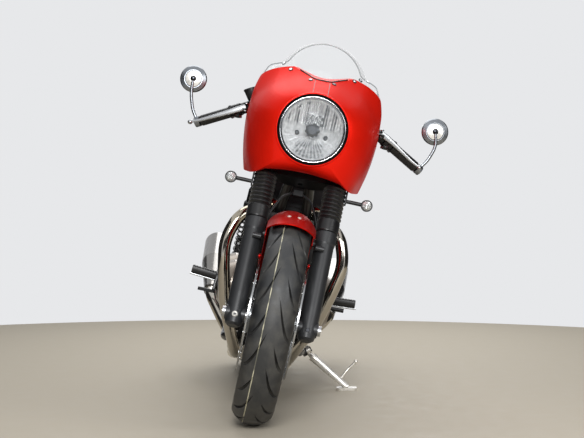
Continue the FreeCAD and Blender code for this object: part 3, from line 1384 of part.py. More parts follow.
def tyre_drop():
    """How far the rounded crowns sink below the lean line (mean of both tyres)."""
    drops = []
    for radius, width, rim_width in (
            (FRONT_TYRE_RADIUS, FRONT_TYRE_WIDTH, FRONT_RIM_WIDTH),
            (REAR_TYRE_RADIUS, REAR_TYRE_WIDTH, REAR_RIM_WIDTH)):
        flange = BEAD_RADIUS + FLANGE_HEIGHT
        shoulder = flange + 0.52 * (radius - flange)
        half = width / 2 - 1.5
        rise = radius - shoulder
        crown = (half * half + rise * rise) / (2 * rise)
        drops.append(crown * (1 - cos(radians(LEAN))))
    return drops


def ground_level():
    """Height of the floor in the leaned frame, midway between the tyres."""
    drops = tyre_drop()
    return -(drops[0] + drops[1]) / 2


def stand_foot_point():
    """Centre of the foot's sole, on the floor, in the upright frame."""
    floor = ground_level()
    lean = radians(LEAN)
    leaned_x = STAND_FOOT_X / cos(lean)
    leaned = Vector(leaned_x, STAND_FOOT_Y, floor)
    return Rotation(Y, -LEAN).multVec(leaned)


def stand_axis():
    """Hinge axis that carries the leg from the floor to its folded place."""
    down = (stand_foot_point() - STAND_PIVOT).normalize()
    change = down - Vector(STAND_FOLDED).normalize()
    # a unit axis at right angles to the change, with a small rearward share
    flat = sqrt(1 - STAND_AXIS_SHARE ** 2)
    reach = hypot(change.x, change.z)
    turn = atan2(change.z, change.x) + pi / 2 - asin(-change.y * STAND_AXIS_SHARE / (reach * flat))
    axis = Vector(flat * cos(turn), STAND_AXIS_SHARE, flat * sin(turn))
    if axis.z > 0:
        return axis
    turn = 2 * atan2(change.z, change.x) - turn
    return Vector(flat * cos(turn), STAND_AXIS_SHARE, flat * sin(turn))


def side_stand():
    """Leg on its pivot eye, with a foot that lies flat on the floor."""
    axis = stand_axis()
    sole = stand_foot_point()
    up = Rotation(Y, -LEAN).multVec(Z)
    eye = rod(STAND_PIVOT - axis * 7.0, STAND_PIVOT + axis * 7.0, 15.0)
    top = sole + up * (STAND_FOOT_THICKNESS + 3.0)
    outwards = top - STAND_PIVOT
    flat = (outwards - axis * outwards.dot(axis)).normalize()
    knee = STAND_PIVOT + flat * 18.0
    shoulder = knee + (top - knee).normalize() * 14.0
    neck = fused(rod(STAND_PIVOT + flat * 6.0, knee, 7.0), ball(knee, 7.0))
    cheek = taper(knee, shoulder, 7.0, STAND_TUBE_RADIUS)
    leg = taper(shoulder, top, STAND_TUBE_RADIUS, STAND_TUBE_RADIUS - 2.5)
    foot = softened(box((-38, 30), (-26, 26), (0, STAND_FOOT_THICKNESS)), 12.0, Z)
    foot = moved(foot, Placement(sole, Rotation(Y, -LEAN)))
    tang_root = sole + (STAND_PIVOT - sole) * 0.22
    tang_tip = Vector(331, 762, 166)
    tang = pipe([tang_root, tang_root + Vector(20, 16, 40), tang_tip], 4.0)
    body = fused(eye, neck, cheek, leg, foot, tang, ball(tang_tip, 7.0))
    return body.cut(rod(STAND_PIVOT - axis * 20, STAND_PIVOT + axis * 20, 6.0 + RUNNING_FIT))


# ---------------------------------------------------------------- whole machine
def chassis_pieces():
    return {
        "headstock_frame": headstock_frame(),
        "frame_cradle_left": cradle_side(1),
        "frame_cradle_right": cradle_side(-1),
        "seat_frame": seat_frame(),
        "swingarm": swingarm(),
        "rear_axle": rear_axle(),
        "rear_shocks": pair(shock()),
        "crankcase": crankcase(),
        "cylinder_block": cylinder_block(),
        "cylinder_head": cylinder_head(),
        "engine_covers": engine_covers(),
        "intake_bodies": intake_bodies(),
        "radiator": radiator(),
        "exhaust_headers": exhaust_headers(),
        "silencers": pair(silencer()),
        "fuel_tank": fuel_tank(),
        "seat": seat(),
        "seat_cowl": seat_cowl(),
        "side_panels": pair(side_panel()),
        "rear_mudguard": rear_mudguard(),
        "rear_lamps": rear_lamps(),
        "drive_chain": drive_chain(),
        "chain_guard": chain_guard(),
        "rear_caliper": rear_caliper(),
        "footrests": Part.makeCompound([footrest(1), footrest(-1)]),
    }


def steered(shape):
    """Turned about the steering axis to the resting angle."""
    copy = shape.copy()
    copy.rotate(STEER_GROUND, STEER_AXIS, STEER_REST)
    return copy


def leaned(shape):
    copy = shape.copy()
    copy.rotate(ORIGIN, Y, LEAN)
    return copy


def machine():
    """Every piece in its resting place, before the origin is moved."""
    turning = {**steering_pieces(), **front_wheel_pieces()}
    fixed = {**chassis_pieces(), **rear_wheel_pieces(), "side_stand": side_stand(),
        "filler_cap": filler_cap()}
    placed = {name: leaned(shape) for name, shape in fixed.items()}
    placed.update({name: leaned(steered(shape)) for name, shape in turning.items()})
    return placed


def footprint_shift(placed):
    """Vector that brings the middle of the bounding box's base to the origin."""
    bounds = FreeCAD.BoundBox()
    for shape in placed.values():
        bounds.add(shape.optimalBoundingBox(False, False))
    return Vector(-(bounds.XMin + bounds.XMax) / 2, -(bounds.YMin + bounds.YMax) / 2, -bounds.ZMin)


def main():
    os.makedirs("parts", exist_ok=True)
    placed = machine()
    shift = footprint_shift(placed)
    for name, shape in placed.items():
        shape.translate(shift)
        shape.exportStep(f"parts/{name}.step")


if __name__ == "__main__":
    main()
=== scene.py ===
"""Looks of the cafe racer: finishes, trim and soft parts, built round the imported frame.

Lengths are millimetres in the machine's own upright axes until a piece is placed.
"""

import json
import logging
from dataclasses import dataclass, replace
from enum import Enum
from math import cos, pi, radians, sin

import bmesh
import bpy
import numpy as np

from mathutils.bvhtree import BVHTree
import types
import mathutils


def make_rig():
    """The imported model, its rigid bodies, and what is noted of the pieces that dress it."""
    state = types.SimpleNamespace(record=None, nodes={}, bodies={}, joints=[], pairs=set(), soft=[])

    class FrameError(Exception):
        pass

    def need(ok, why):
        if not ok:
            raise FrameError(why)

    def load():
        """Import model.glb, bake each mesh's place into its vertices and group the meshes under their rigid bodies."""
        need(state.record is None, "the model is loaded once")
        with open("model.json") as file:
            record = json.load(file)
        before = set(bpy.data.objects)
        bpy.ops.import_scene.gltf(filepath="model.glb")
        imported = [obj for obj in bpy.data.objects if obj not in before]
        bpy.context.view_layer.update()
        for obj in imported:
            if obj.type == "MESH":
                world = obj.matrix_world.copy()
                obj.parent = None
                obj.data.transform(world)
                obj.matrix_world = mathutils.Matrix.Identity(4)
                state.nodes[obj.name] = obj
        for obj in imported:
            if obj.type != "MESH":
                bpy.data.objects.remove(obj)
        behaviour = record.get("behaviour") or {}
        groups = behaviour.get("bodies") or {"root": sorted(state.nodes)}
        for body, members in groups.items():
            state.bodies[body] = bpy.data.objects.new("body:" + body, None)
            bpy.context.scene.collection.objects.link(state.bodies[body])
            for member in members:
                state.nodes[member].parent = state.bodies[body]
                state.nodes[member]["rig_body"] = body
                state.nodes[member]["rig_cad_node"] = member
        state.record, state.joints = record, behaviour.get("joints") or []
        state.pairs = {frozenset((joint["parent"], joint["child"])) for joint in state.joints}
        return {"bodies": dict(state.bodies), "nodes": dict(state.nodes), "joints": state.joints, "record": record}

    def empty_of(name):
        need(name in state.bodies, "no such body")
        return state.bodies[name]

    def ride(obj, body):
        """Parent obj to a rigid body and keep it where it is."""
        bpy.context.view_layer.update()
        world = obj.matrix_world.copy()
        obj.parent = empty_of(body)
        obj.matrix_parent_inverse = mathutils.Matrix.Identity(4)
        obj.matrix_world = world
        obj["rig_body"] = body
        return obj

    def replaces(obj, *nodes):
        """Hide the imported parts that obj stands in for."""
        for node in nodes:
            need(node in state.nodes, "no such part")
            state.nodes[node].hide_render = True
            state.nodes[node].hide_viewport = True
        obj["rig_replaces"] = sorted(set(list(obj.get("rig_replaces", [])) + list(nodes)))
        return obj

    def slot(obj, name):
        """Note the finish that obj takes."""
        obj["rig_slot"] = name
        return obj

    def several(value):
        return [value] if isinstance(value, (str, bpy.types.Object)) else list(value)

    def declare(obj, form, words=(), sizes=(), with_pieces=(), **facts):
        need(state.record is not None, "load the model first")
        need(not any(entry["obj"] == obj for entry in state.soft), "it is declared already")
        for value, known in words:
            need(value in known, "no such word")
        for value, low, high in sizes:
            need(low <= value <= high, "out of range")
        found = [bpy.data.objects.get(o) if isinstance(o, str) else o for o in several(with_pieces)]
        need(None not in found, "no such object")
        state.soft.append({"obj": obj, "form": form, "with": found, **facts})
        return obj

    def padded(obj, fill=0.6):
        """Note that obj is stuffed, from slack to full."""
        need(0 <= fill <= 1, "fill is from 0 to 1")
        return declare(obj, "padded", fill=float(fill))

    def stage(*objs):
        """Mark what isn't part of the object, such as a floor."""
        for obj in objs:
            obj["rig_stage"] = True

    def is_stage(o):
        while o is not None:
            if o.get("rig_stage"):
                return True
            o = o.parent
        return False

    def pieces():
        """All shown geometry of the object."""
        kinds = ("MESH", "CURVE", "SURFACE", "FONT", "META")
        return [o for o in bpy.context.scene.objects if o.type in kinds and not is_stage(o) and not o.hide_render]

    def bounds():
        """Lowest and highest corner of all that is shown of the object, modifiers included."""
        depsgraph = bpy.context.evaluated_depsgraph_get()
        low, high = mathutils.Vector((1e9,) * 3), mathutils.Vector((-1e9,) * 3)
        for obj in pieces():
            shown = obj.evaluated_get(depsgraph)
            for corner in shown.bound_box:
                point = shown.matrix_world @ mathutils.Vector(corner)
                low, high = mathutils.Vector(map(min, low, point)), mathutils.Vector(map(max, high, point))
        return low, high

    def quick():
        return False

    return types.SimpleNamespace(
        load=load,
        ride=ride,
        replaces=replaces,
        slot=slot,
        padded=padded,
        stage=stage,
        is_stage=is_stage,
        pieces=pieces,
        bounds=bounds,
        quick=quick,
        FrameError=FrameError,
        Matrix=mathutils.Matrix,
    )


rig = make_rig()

LOG = logging.getLogger("cafe_racer")
Points = np.ndarray
Pair = tuple[float, float]
Triple = tuple[float, float, float]
Tree = bpy.types.NodeTree
Socket = bpy.types.NodeSocket
ZERO = (0.0, 0.0, 0.0)
LEFTWARDS, BACKWARDS, UPWARDS = (1.0, 0.0, 0.0), (0.0, 1.0, 0.0), (0.0, 0.0, 1.0)
FORWARDS = (0.0, -1.0, 0.0)
UNTURNED = np.eye(3)

WHEELBASE = 1415.0
RAKE = radians(22.7)
FRONT_TYRE_RADIUS = 300.0
REAR_TYRE_RADIUS = 312.0
FRONT_HUB = (0.0, 0.0, FRONT_TYRE_RADIUS)
REAR_HUB = (0.0, WHEELBASE, REAR_TYRE_RADIUS)
LEG_X = 106.0
MM = 0.001


# ---------------------------------------------------------------- axes
@dataclass(frozen=True)
class Axes:
    """Own axes of part of the machine: x to the rider's left, y rearwards, z up.

    origin is in metres in the frame, and the columns of turn are the three directions.
    body is the CAD body that pieces drawn in these axes ride on.
    """

    origin: Points
    turn: Points
    body: str

    def on(self, body: str) -> "Axes":
        """The same axes for pieces of another body."""
        return replace(self, body=body)

    def place(self, points: Points) -> Points:
        """Millimetres in these axes to metres in the frame."""
        return self.origin + (np.asarray(points, float) * MM) @ self.turn.T

    def way(self, direction: Points) -> Points:
        """A direction in these axes, in the frame."""
        return np.asarray(direction, float) @ self.turn.T

    def local(self, points: Points) -> Points:
        """Metres in the frame to millimetres in these axes."""
        return (np.asarray(points, float) - self.origin) @ self.turn / MM


@dataclass(frozen=True)
class Layout:
    """Axes of the leaning chassis, of the steered front end and of the fork leg."""

    chassis: Axes
    front: Axes
    fork: Axes

    @classmethod
    def from_joints(cls, joints: list[dict]) -> "Layout":
        """Works the axes out from the wheel and steering joints.

        Args:
            joints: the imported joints, each with pos_m and axis.

        Returns:
            The layout, whose chassis origin is on the ground below the front axle.
        """
        by_name = {joint["name"]: joint for joint in joints}

        def line(name: str) -> tuple[Points, Points]:
            """Place and unit axis of a joint."""
            axis = np.array(by_name[name]["axis"], float)
            return np.array(by_name[name]["pos_m"], float), axis / np.linalg.norm(axis)

        rear_hub, left = line("rear_wheel_spin")
        back = np.array([0.0, 1.0, 0.0])
        turn = columns(left, back, np.cross(left, back))
        to_ground = np.array([0.0, WHEELBASE, REAR_TYRE_RADIUS]) * MM
        chassis = Axes(rear_hub - turn @ to_ground, turn, "chassis")
        front_hub, left = line("front_wheel_spin")
        steer = line("steering")[1]
        across = np.cross(steer, left)
        back = cos(RAKE) * across + sin(RAKE) * steer
        up = cos(RAKE) * steer - sin(RAKE) * across
        turn = columns(left, back, up)
        front = Axes(front_hub - up * FRONT_TYRE_RADIUS * MM, turn, "steering")
        fork = Axes(front_hub, columns(left, across, steer), "steering")
        return cls(chassis, front, fork)


# ---------------------------------------------------------------- surfaces
@dataclass(frozen=True)
class Surface:
    """Points in millimetres with quads by index, and a flat map for patterns."""

    points: Points
    quads: Points
    chart: Points | None = None

    def moved(self, origin: Points, turn: Points = UNTURNED) -> "Surface":
        """Turned by a matrix of three columns, then moved."""
        points = self.points @ np.asarray(turn, float).T + np.asarray(origin, float)
        return replace(self, points=points)

    def mirrored(self) -> "Surface":
        """The same on the other side of the machine."""
        return Surface(self.points * np.array([-1.0, 1.0, 1.0]), self.quads[:, ::-1], self.chart)


def grid(points: Points, wrap_rows: bool = False, wrap_columns: bool = False) -> Surface:
    """Quads between neighbouring points of a grid.

    Args:
        points: array of rows by columns by 3.
        wrap_rows: whether the last row meets the first.
        wrap_columns: whether the last column meets the first.

    Returns:
        The surface, where index = row * columns + column.
    """
    rows, width = points.shape[:2]
    row = np.arange(rows if wrap_rows else rows - 1)[:, None]
    column = np.arange(width if wrap_columns else width - 1)[None, :]
    next_row = (row + 1) % rows
    next_column = (column + 1) % width
    corners = [row * width + column, row * width + next_column,
               next_row * width + next_column, next_row * width + column]
    return Surface(points.reshape(-1, 3), np.stack(corners, axis=-1).reshape(-1, 4))


def columns(*values: Points) -> Points:
    """Values side by side in the last axis, each spread to the common shape."""
    return np.stack(np.broadcast_arrays(*values), axis=-1)


def together(surfaces: list[Surface]) -> Surface:
    """Several surfaces as one."""
    offsets = np.cumsum([0] + [len(surface.points) for surface in surfaces[:-1]])
    quads = [surface.quads + offset for surface, offset in zip(surfaces, offsets)]
    charts = [surface.chart for surface in surfaces]
    chart = None if any(item is None for item in charts) else np.concatenate(charts)
    return Surface(np.concatenate([surface.points for surface in surfaces]), np.concatenate(quads), chart)


def repeated(surface: Surface, origins: Points, turns: Points = UNTURNED) -> Surface:
    """A surface copied to many places: point = turn * point + origin, for each place."""
    origins = np.asarray(origins, float)
    turns = np.broadcast_to(np.asarray(turns, float), (len(origins), 3, 3))
    points = np.einsum("kij,nj->kni", turns, surface.points) + origins[:, None, :]
    steps = np.arange(len(origins))[:, None, None] * len(surface.points)
    return Surface(points.reshape(-1, 3), (surface.quads[None] + steps).reshape(-1, 4))


def toward(direction: Points, up: Points = UPWARDS) -> Points:
    """Matrix whose third column is the direction and whose second is nearest to up."""
    third = np.asarray(direction, float) / np.linalg.norm(direction)
    first = np.cross(np.asarray(up, float), third)
    if np.linalg.norm(first) < 1e-6:
        first = np.cross([0.0, 1.0, 0.0], third)
    first = first / np.linalg.norm(first)
    return columns(first, np.cross(third, first), third)


def towards(directions: Points) -> Points:
    """One such matrix for each direction."""
    return np.stack([toward(direction) for direction in directions])


def turned(profile: Points, segments: int, origin: Points = ZERO, direction: Points = UPWARDS) -> Surface:
    """Surface of revolution: (r cos a, r sin a, s) for each (r, s) of the profile.

    Args:
        profile: rows of radius and station along the axis.
        segments: points round the axis.
        origin: where station 0 lies.
        direction: the axis.

    Returns:
        The surface, closed where a radius is 0.
    """
    profile = np.asarray(profile, float)
    angle = np.linspace(0.0, 2 * pi, segments, endpoint=False)
    radius, station = profile[:, 0, None], profile[:, 1, None]
    points = columns(radius * np.cos(angle), radius * np.sin(angle), station)
    return grid(points, wrap_columns=True).moved(origin, toward(direction))


def carried(profile: Points, path: Points, up: Points = UPWARDS, scale: Points | None = None,
            closed: bool = False) -> Surface:
    """A closed profile carried along a path: path + x * side + y * normal.

    Args:
        profile: rows of x and y, round the path.
        path: points along the path.
        up: direction that the profile's y stays nearest to.
        scale: size of the profile at each point of the path, as one or two columns.
        closed: whether the path is a loop; if not, both ends are capped.

    Returns:
        The surface.
    """
    path = np.asarray(path, float)
    if closed:
        tangent = np.roll(path, -1, axis=0) - np.roll(path, 1, axis=0)
    else:
        tangent = np.gradient(path, axis=0)
    tangent /= np.linalg.norm(tangent, axis=1, keepdims=True)
    side = np.cross(tangent, np.asarray(up, float))
    side /= np.linalg.norm(side, axis=1, keepdims=True)
    normal = np.cross(side, tangent)
    size = np.ones((len(path), 2))
    if scale is not None:
        size = np.asarray(scale, float).reshape(len(path), -1) * size
    profile = np.asarray(profile, float)
    points = (path[:, None, :] + profile[None, :, 0, None] * (side * size[:, :1])[:, None, :]
              + profile[None, :, 1, None] * (normal * size[:, 1:])[:, None, :])
    if not closed:
        first = np.broadcast_to(path[0], points[0].shape)
        last = np.broadcast_to(path[-1], points[0].shape)
        points = np.concatenate([first[None], points, last[None]])
    return grid(points, wrap_rows=closed, wrap_columns=True)


def ring_profile(radius: float, segments: int = 16) -> Points:
    """Circle about the origin as rows of x and y."""
    angle = np.linspace(0.0, 2 * pi, segments, endpoint=False)
    return radius * columns(np.cos(angle), np.sin(angle))


def rounded_profile(half_width: float, half_height: float, power: float = 3.0, segments: int = 24) -> Points:
    """Rounded rectangle: |x / w| ** power + |y / h| ** power = 1."""
    angle = np.linspace(0.0, 2 * pi, segments, endpoint=False)
    cosine, sine = np.cos(angle), np.sin(angle)
    x = half_width * np.sign(cosine) * np.abs(cosine) ** (2 / power)
    y = half_height * np.sign(sine) * np.abs(sine) ** (2 / power)
    return columns(x, y)


def curve(points: Points, count: int) -> Points:
    """Smooth path through points: Catmull-Rom cubic on each span, ends mirrored."""
    points = np.asarray(points, float)
    padded = np.concatenate([2 * points[:1] - points[1:2], points, 2 * points[-1:] - points[-2:-1]])
    place = np.linspace(0.0, len(points) - 1 - 1e-9, count)
    span = place.astype(int)
    t = (place - span)[:, None]
    a, b, c, d = (padded[span + step] for step in range(4))
    cubic = (3 * b - a - 3 * c + d) * t ** 3
    return 0.5 * (2 * b + (c - a) * t + (2 * a - 5 * b + 4 * c - d) * t ** 2 + cubic)


def ramp(value: Points, low: float, high: float) -> Points:
    """Straight ramp from 0 at low to 1 at high, flat outside."""
    return np.clip((value - low) / (high - low), 0.0, 1.0)


def socket_screws(places: Points, directions: Points, radius: float, height: float) -> Surface:
    """Cap screws with a hexagon socket: rings of radius and station, twelve-sided."""
    profile = [(0.0, height * 0.4), (radius * 0.52, height * 0.4), (radius * 0.55, height),
               (radius * 0.9, height), (radius, height * 0.85), (radius, 0.0), (0.0, 0.0)]
    return repeated(turned(profile, 12), places, towards(directions))


def hex_bolts(places: Points, directions: Points, radius: float, height: float) -> Surface:
    """Hexagon heads on a round washer face."""
    profile = [(0.0, height), (radius * 0.8, height), (radius, height * 0.86), (radius, height * 0.2)]
    head = turned(profile, 6)
    rim = radius * 1.35
    washer = turned([(radius, height * 0.2), (rim, height * 0.2), (rim, 0.0), (0.0, 0.0)], 18)
    turns = towards(directions)
    return together([repeated(head, places, turns), repeated(washer, places, turns)])


# ---------------------------------------------------------------- finishes
def linear(hex_colour: str) -> tuple[float, float, float, float]:
    """sRGB hex to linear red, green, blue and 1."""
    channels = np.array([int(hex_colour[i:i + 2], 16) for i in (1, 3, 5)]) / 255.0
    low = channels / 12.92
    high = ((channels + 0.055) / 1.055) ** 2.4
    red, green, blue = np.where(channels <= 0.04045, low, high)
    return float(red), float(green), float(blue), 1.0


def add(tree: Tree, kind: str, sockets: dict | None = None, **settings: object) -> bpy.types.Node:
    """Adds a node with its settings, and sets or links its input sockets."""
    node = tree.nodes.new(kind)
    for name, value in settings.items():
        setattr(node, name, value)
    for name, value in (sockets or {}).items():
        if isinstance(value, Socket):
            tree.links.new(value, node.inputs[name])
        else:
            node.inputs[name].default_value = value
    return node


def noise(tree: Tree, place: Socket, scale: float, detail: float = 3.0) -> Socket:
    """Cloudy noise at a place; scale counts its waves in a metre."""
    return add(tree, "ShaderNodeTexNoise", {"Vector": place, "Scale": scale, "Detail": detail}).outputs[0]


def remap(tree: Tree, value: Socket, low: float, high: float,
          to_low: float = 0.0, to_high: float = 1.0) -> Socket:
    """Straight ramp from to_low at low to to_high at high, flat outside."""
    return add(tree, "ShaderNodeMapRange", {
        "Value": value, "From Min": low, "From Max": high, "To Min": to_low, "To Max": to_high}).outputs[0]


def combine(tree: Tree, operation: str, *values: object, clamp: bool = False) -> Socket:
    """The operation on sockets or numbers."""
    return add(tree, "ShaderNodeMath", dict(enumerate(values)), operation=operation,
               use_clamp=clamp).outputs[0]


def blend(tree: Tree, share: Socket, first: object, second: object) -> Socket:
    """Colour between two sockets or hex colours, the second where share is 1."""
    first, second = (linear(item) if isinstance(item, str) else item for item in (first, second))
    return add(tree, "ShaderNodeMix", {0: share, 6: first, 7: second}, data_type="RGBA").outputs[2]


def relief(tree: Tree, height: Socket, depth: float) -> Socket:
    """Bumps of a depth in metres."""
    return add(tree, "ShaderNodeBump", {"Height": height, "Distance": depth, "Strength": 1.0}).outputs[0]


def depth_share(tree: Tree) -> Socket:
    """The third value of the surface's own chart, which says where dark is painted: shade in the tyre's grooves and
    reflection in the lamp's bowl.
    """
    return add(tree, "ShaderNodeAttribute", attribute_name="depth").outputs["Fac"]


@dataclass(frozen=True)
class Look:
    """A named material, built from nodes."""

    name: str

    def sockets(self, tree: Tree, place: Socket) -> dict:
        """Values and links of the surface shader's sockets, by name; place is in metres."""
        raise NotImplementedError

    def material(self) -> bpy.types.Material:
        """The look as a node material, made once and then shared."""
        known = bpy.data.materials.get(self.name)
        if known:
            return known
        made = bpy.data.materials.new(self.name)
        made.use_nodes = True
        tree = made.node_tree
        tree.nodes.clear()
        place = add(tree, "ShaderNodeTexCoord").outputs["Object"]
        shader = add(tree, "ShaderNodeBsdfPrincipled", self.sockets(tree, place))
        add(tree, "ShaderNodeOutputMaterial", {"Surface": shader.outputs[0]})
        return made


class Texture(Enum):
    """How a surface was made, which sets the pattern of its relief and tone."""

    SPRAYED = "sprayed"
    CAST = "cast"
    BRUSHED = "brushed"
    POLISHED = "polished"
    MOULDED = "moulded"
    GRAINED = "grained"


@dataclass(frozen=True)
class Finish(Look):
    """One finish: what the surface is made of and how.

    tone is how far the colour wanders from dark to light, pitch_mm the size of the
    texture and relief_mm its depth.
    """

    colour: str
    roughness: float
    metallic: float = 0.0
    texture: Texture = Texture.MOULDED
    pitch_mm: float = 2.0
    relief_mm: float = 0.02
    tone: float = 0.08
    coat: float = 0.0
    coat_roughness: float = 0.03
    ior: float = 1.5
    sheen: float = 0.0
    stretch: Triple = (1.0, 1.0, 1.0)

    def height(self, tree: Tree, place: Socket) -> Socket:
        """Height of the texture: edges of cells where it is grained, or else noise."""
        scale = [factor / (self.pitch_mm * MM) for factor in self.stretch]
        mapped = add(tree, "ShaderNodeMapping", {"Vector": place, "Scale": scale}).outputs[0]
        if self.texture is Texture.GRAINED:
            cells = add(tree, "ShaderNodeTexVoronoi", {"Vector": mapped, "Scale": 1.0},
                        feature="DISTANCE_TO_EDGE")
            return combine(tree, "MULTIPLY", cells.outputs["Distance"], 4.0, clamp=True)
        detail = {Texture.SPRAYED: 0.0, Texture.POLISHED: 1.0}.get(self.texture, 4.0)
        return noise(tree, mapped, 1.0, detail)

    def sockets(self, tree: Tree, place: Socket) -> dict:
        """Colour, roughness and relief that follow one pattern."""
        height = self.height(tree, place)
        broad = noise(tree, place, 22.0)
        pattern = add(tree, "ShaderNodeMix", {0: 0.5, 2: broad, 3: height}).outputs[0]
        colour = linear(self.colour)[:3]
        dark = tuple(value * (1 - self.tone) for value in colour) + (1.0,)
        light = tuple(min(1.0, value * (1 + self.tone)) for value in colour) + (1.0,)
        return {
            "Base Color": blend(tree, pattern, dark, light),
            "Roughness": remap(tree, pattern, 0.3, 0.7, self.roughness * 0.85,
                               min(1.0, self.roughness * 1.2)),
            "Normal": relief(tree, height, self.relief_mm * MM),
            "Metallic": self.metallic, "IOR": self.ior, "Coat Weight": self.coat,
            "Coat Roughness": self.coat_roughness, "Sheen Weight": self.sheen}


@dataclass(frozen=True)
class Sprayed(Finish):
    """Paint or powder."""

    texture: Texture = Texture.SPRAYED


@dataclass(frozen=True)
class Cast(Finish):
    """Painted casting or forging."""

    texture: Texture = Texture.CAST


@dataclass(frozen=True)
class CastMetal(Cast):
    """Bare casting or forging."""

    metallic: float = 1.0


@dataclass(frozen=True)
class Brushed(Finish):
    """Brushed or turned metal."""

    metallic: float = 1.0
    texture: Texture = Texture.BRUSHED


@dataclass(frozen=True)
class Smooth(Finish):
    """Polished plastic."""

    texture: Texture = Texture.POLISHED


@dataclass(frozen=True)
class Polished(Smooth):
    """Polished or plated metal."""

    metallic: float = 1.0


# Two-stage candy over silver basecoat: warm red that goes deep at the sides, under thick lacquer.
CANDY_RED = Sprayed("candy_red_lacquer", "#e51d0c", 0.40, metallic=0.34, pitch_mm=0.6, relief_mm=0.004,
                    tone=0.06, coat=0.07, coat_roughness=0.05, ior=1.16)
# The same candy, darker, as painted shade where the front shell shades the small mudguard.
CANDY_RED_PAINTED_SHADE = Sprayed("candy_red_lacquer_painted_shade", "#ad1008", 0.36, metallic=0.5, pitch_mm=0.6, relief_mm=0.004,
                   tone=0.06, coat=0.04, coat_roughness=0.05, ior=1.12)
# Powder-coated steel tube: even satin black with a faint peel.
FRAME_BLACK = Sprayed("powder_coated_tube", "#121213", 0.34, pitch_mm=1.6, coat=0.3, coat_roughness=0.2)
# Epoxy-painted cast aluminium: soft dark grey, slightly rough from the sand.
FORK_GREY = Cast("satin_painted_casting", "#2e2f31", 0.38, metallic=0.2, pitch_mm=1.4, relief_mm=0.03)
# Hard-chromed tube: near-mirror, cold.
HARD_CHROME = Polished("hard_chrome_tube", "#c9cbce", 0.08, pitch_mm=6.0, relief_mm=0.002, tone=0.03)
# Decorative chrome on pressed steel: mirror with very faint waves.
BRIGHT_CHROME = Polished("bright_chrome_plate", "#d4d6d9", 0.05, pitch_mm=14.0, relief_mm=0.004, tone=0.02)
# Chrome of the mirrors' shells, its colour darker than bright chrome as painted reflection of dark surroundings: wide
# soft gleams between grey.
MIRROR_SHELL = Polished("chrome_shell_painted_dark_reflection", "#8b8f94", 0.3, pitch_mm=14.0, relief_mm=0.004, tone=0.12)
# Polished then brushed aluminium alloy: soft long streaks.
ALLOY = Brushed("brushed_alloy", "#b9bbbd", 0.26, pitch_mm=0.9, relief_mm=0.004, tone=0.07,
                stretch=(0.08, 1.0, 1.0))
# Laced rim and hub, anodised: pale satin grey.
WHEEL_METAL = Brushed("anodised_rim", "#a4a7aa", 0.26, pitch_mm=1.2, relief_mm=0.003, tone=0.05)
# Ground stainless disc: bright rings from the pads.
DISC_STEEL = Brushed("ground_disc_steel", "#b4b5b6", 0.24, pitch_mm=0.8, relief_mm=0.004)
# Champagne-painted crankcase covers: warm silver with a fine flake.
COVER_SILVER = Sprayed("champagne_cover_paint", "#8c8277", 0.34, metallic=0.75, pitch_mm=0.7,
                       relief_mm=0.006, tone=0.06, coat=0.4, coat_roughness=0.12)
# Black wrinkle paint on the barrels and case: rough, hides the casting.
ENGINE_BLACK = Cast("black_engine_paint", "#17171a", 0.55, pitch_mm=1.1, relief_mm=0.05)
# Satin black on forgings and plates.
BLACK_METAL = Cast("satin_black_forging", "#0e0f10", 0.36, metallic=0.2, pitch_mm=1.8)
# Injection-moulded ABS: black with a spark-eroded grain.
BLACK_PLASTIC = Finish("black_moulded_abs", "#0e0e10", 0.42, texture=Texture.GRAINED, pitch_mm=1.1,
                       relief_mm=0.015)
# Vulcanised rubber for gaiters, grips and hoses: dull, with a little bloom.
BLACK_RUBBER = Finish("moulded_rubber", "#101011", 0.34, pitch_mm=3.0, sheen=0.05)
# Brushed silencer skin, a little duller than the pipes.
SILENCER_STEEL = Brushed("brushed_silencer_skin", "#787571", 0.22, pitch_mm=1.0, relief_mm=0.006,
                         stretch=(1.0, 0.1, 1.0))
# Black caliper paint over cast alloy, glossier than the legs.
CALIPER_BLACK = Cast("black_caliper_paint", "#101012", 0.3, pitch_mm=1.6, relief_mm=0.03, coat=0.4)
# Coated vinyl over foam: fine hide grain with a low sheen.
SEAT_VINYL = Finish("grained_seat_vinyl", "#19181a", 0.48, texture=Texture.GRAINED, pitch_mm=1.3,
                    relief_mm=0.06, sheen=0.1)
# Zinc-plated fasteners: dull silver.
ZINC_BOLT = CastMetal("zinc_plated_steel", "#a9abad", 0.3, pitch_mm=0.9, relief_mm=0.01)
# Blackened fasteners.
DARK_BOLT = CastMetal("blackened_steel", "#3c3d40", 0.34, pitch_mm=0.9, relief_mm=0.01, tone=0.1)
# Enamelled spring wire: glossy black.
SPRING_BLACK = Sprayed("enamelled_spring_wire", "#0b0b0c", 0.2, relief_mm=0.006, coat=0.7,
                       coat_roughness=0.06)
# Black-painted brass of the cooler's tubes.
RADIATOR_BLACK = Cast("black_cooler_paint", "#0c0c0d", 0.5, pitch_mm=1.5, relief_mm=0.01)
# Thin folded fins, black with bare edges: dark grey.
RADIATOR_FIN = Cast("folded_cooler_fin", "#26272a", 0.45, metallic=0.6, pitch_mm=1.2, relief_mm=0.006)
# Polished and buffed alloy: bright and warm.
POLISHED_ALLOY = Smooth("buffed_alloy", "#e9e6df", 0.3, metallic=0.7, pitch_mm=7.0, relief_mm=0.006,
                        tone=0.05)
# Braided sheath of a hose.
HOSE_SHEATH = Finish("hose_sheath", "#101012", 0.4, pitch_mm=1.2)
# Red moulded lens of the tail lamp.
RED_LENS = Smooth("red_moulded_lens", "#8f0d0a", 0.12, pitch_mm=3.0, relief_mm=0.01, coat=0.6)
# Black-chromed groove between the ring and the glass: dark mirror.
BEZEL_DARK = Polished("black_chrome_bezel", "#18191a", 0.2, pitch_mm=8.0, relief_mm=0.003, tone=0.05)
# Matt sponge rubber between the lamp's ring and the shell: drinks light.
GASKET_RUBBER = Finish("matt_gasket_rubber", "#040404", 0.75, pitch_mm=1.0, ior=1.15)
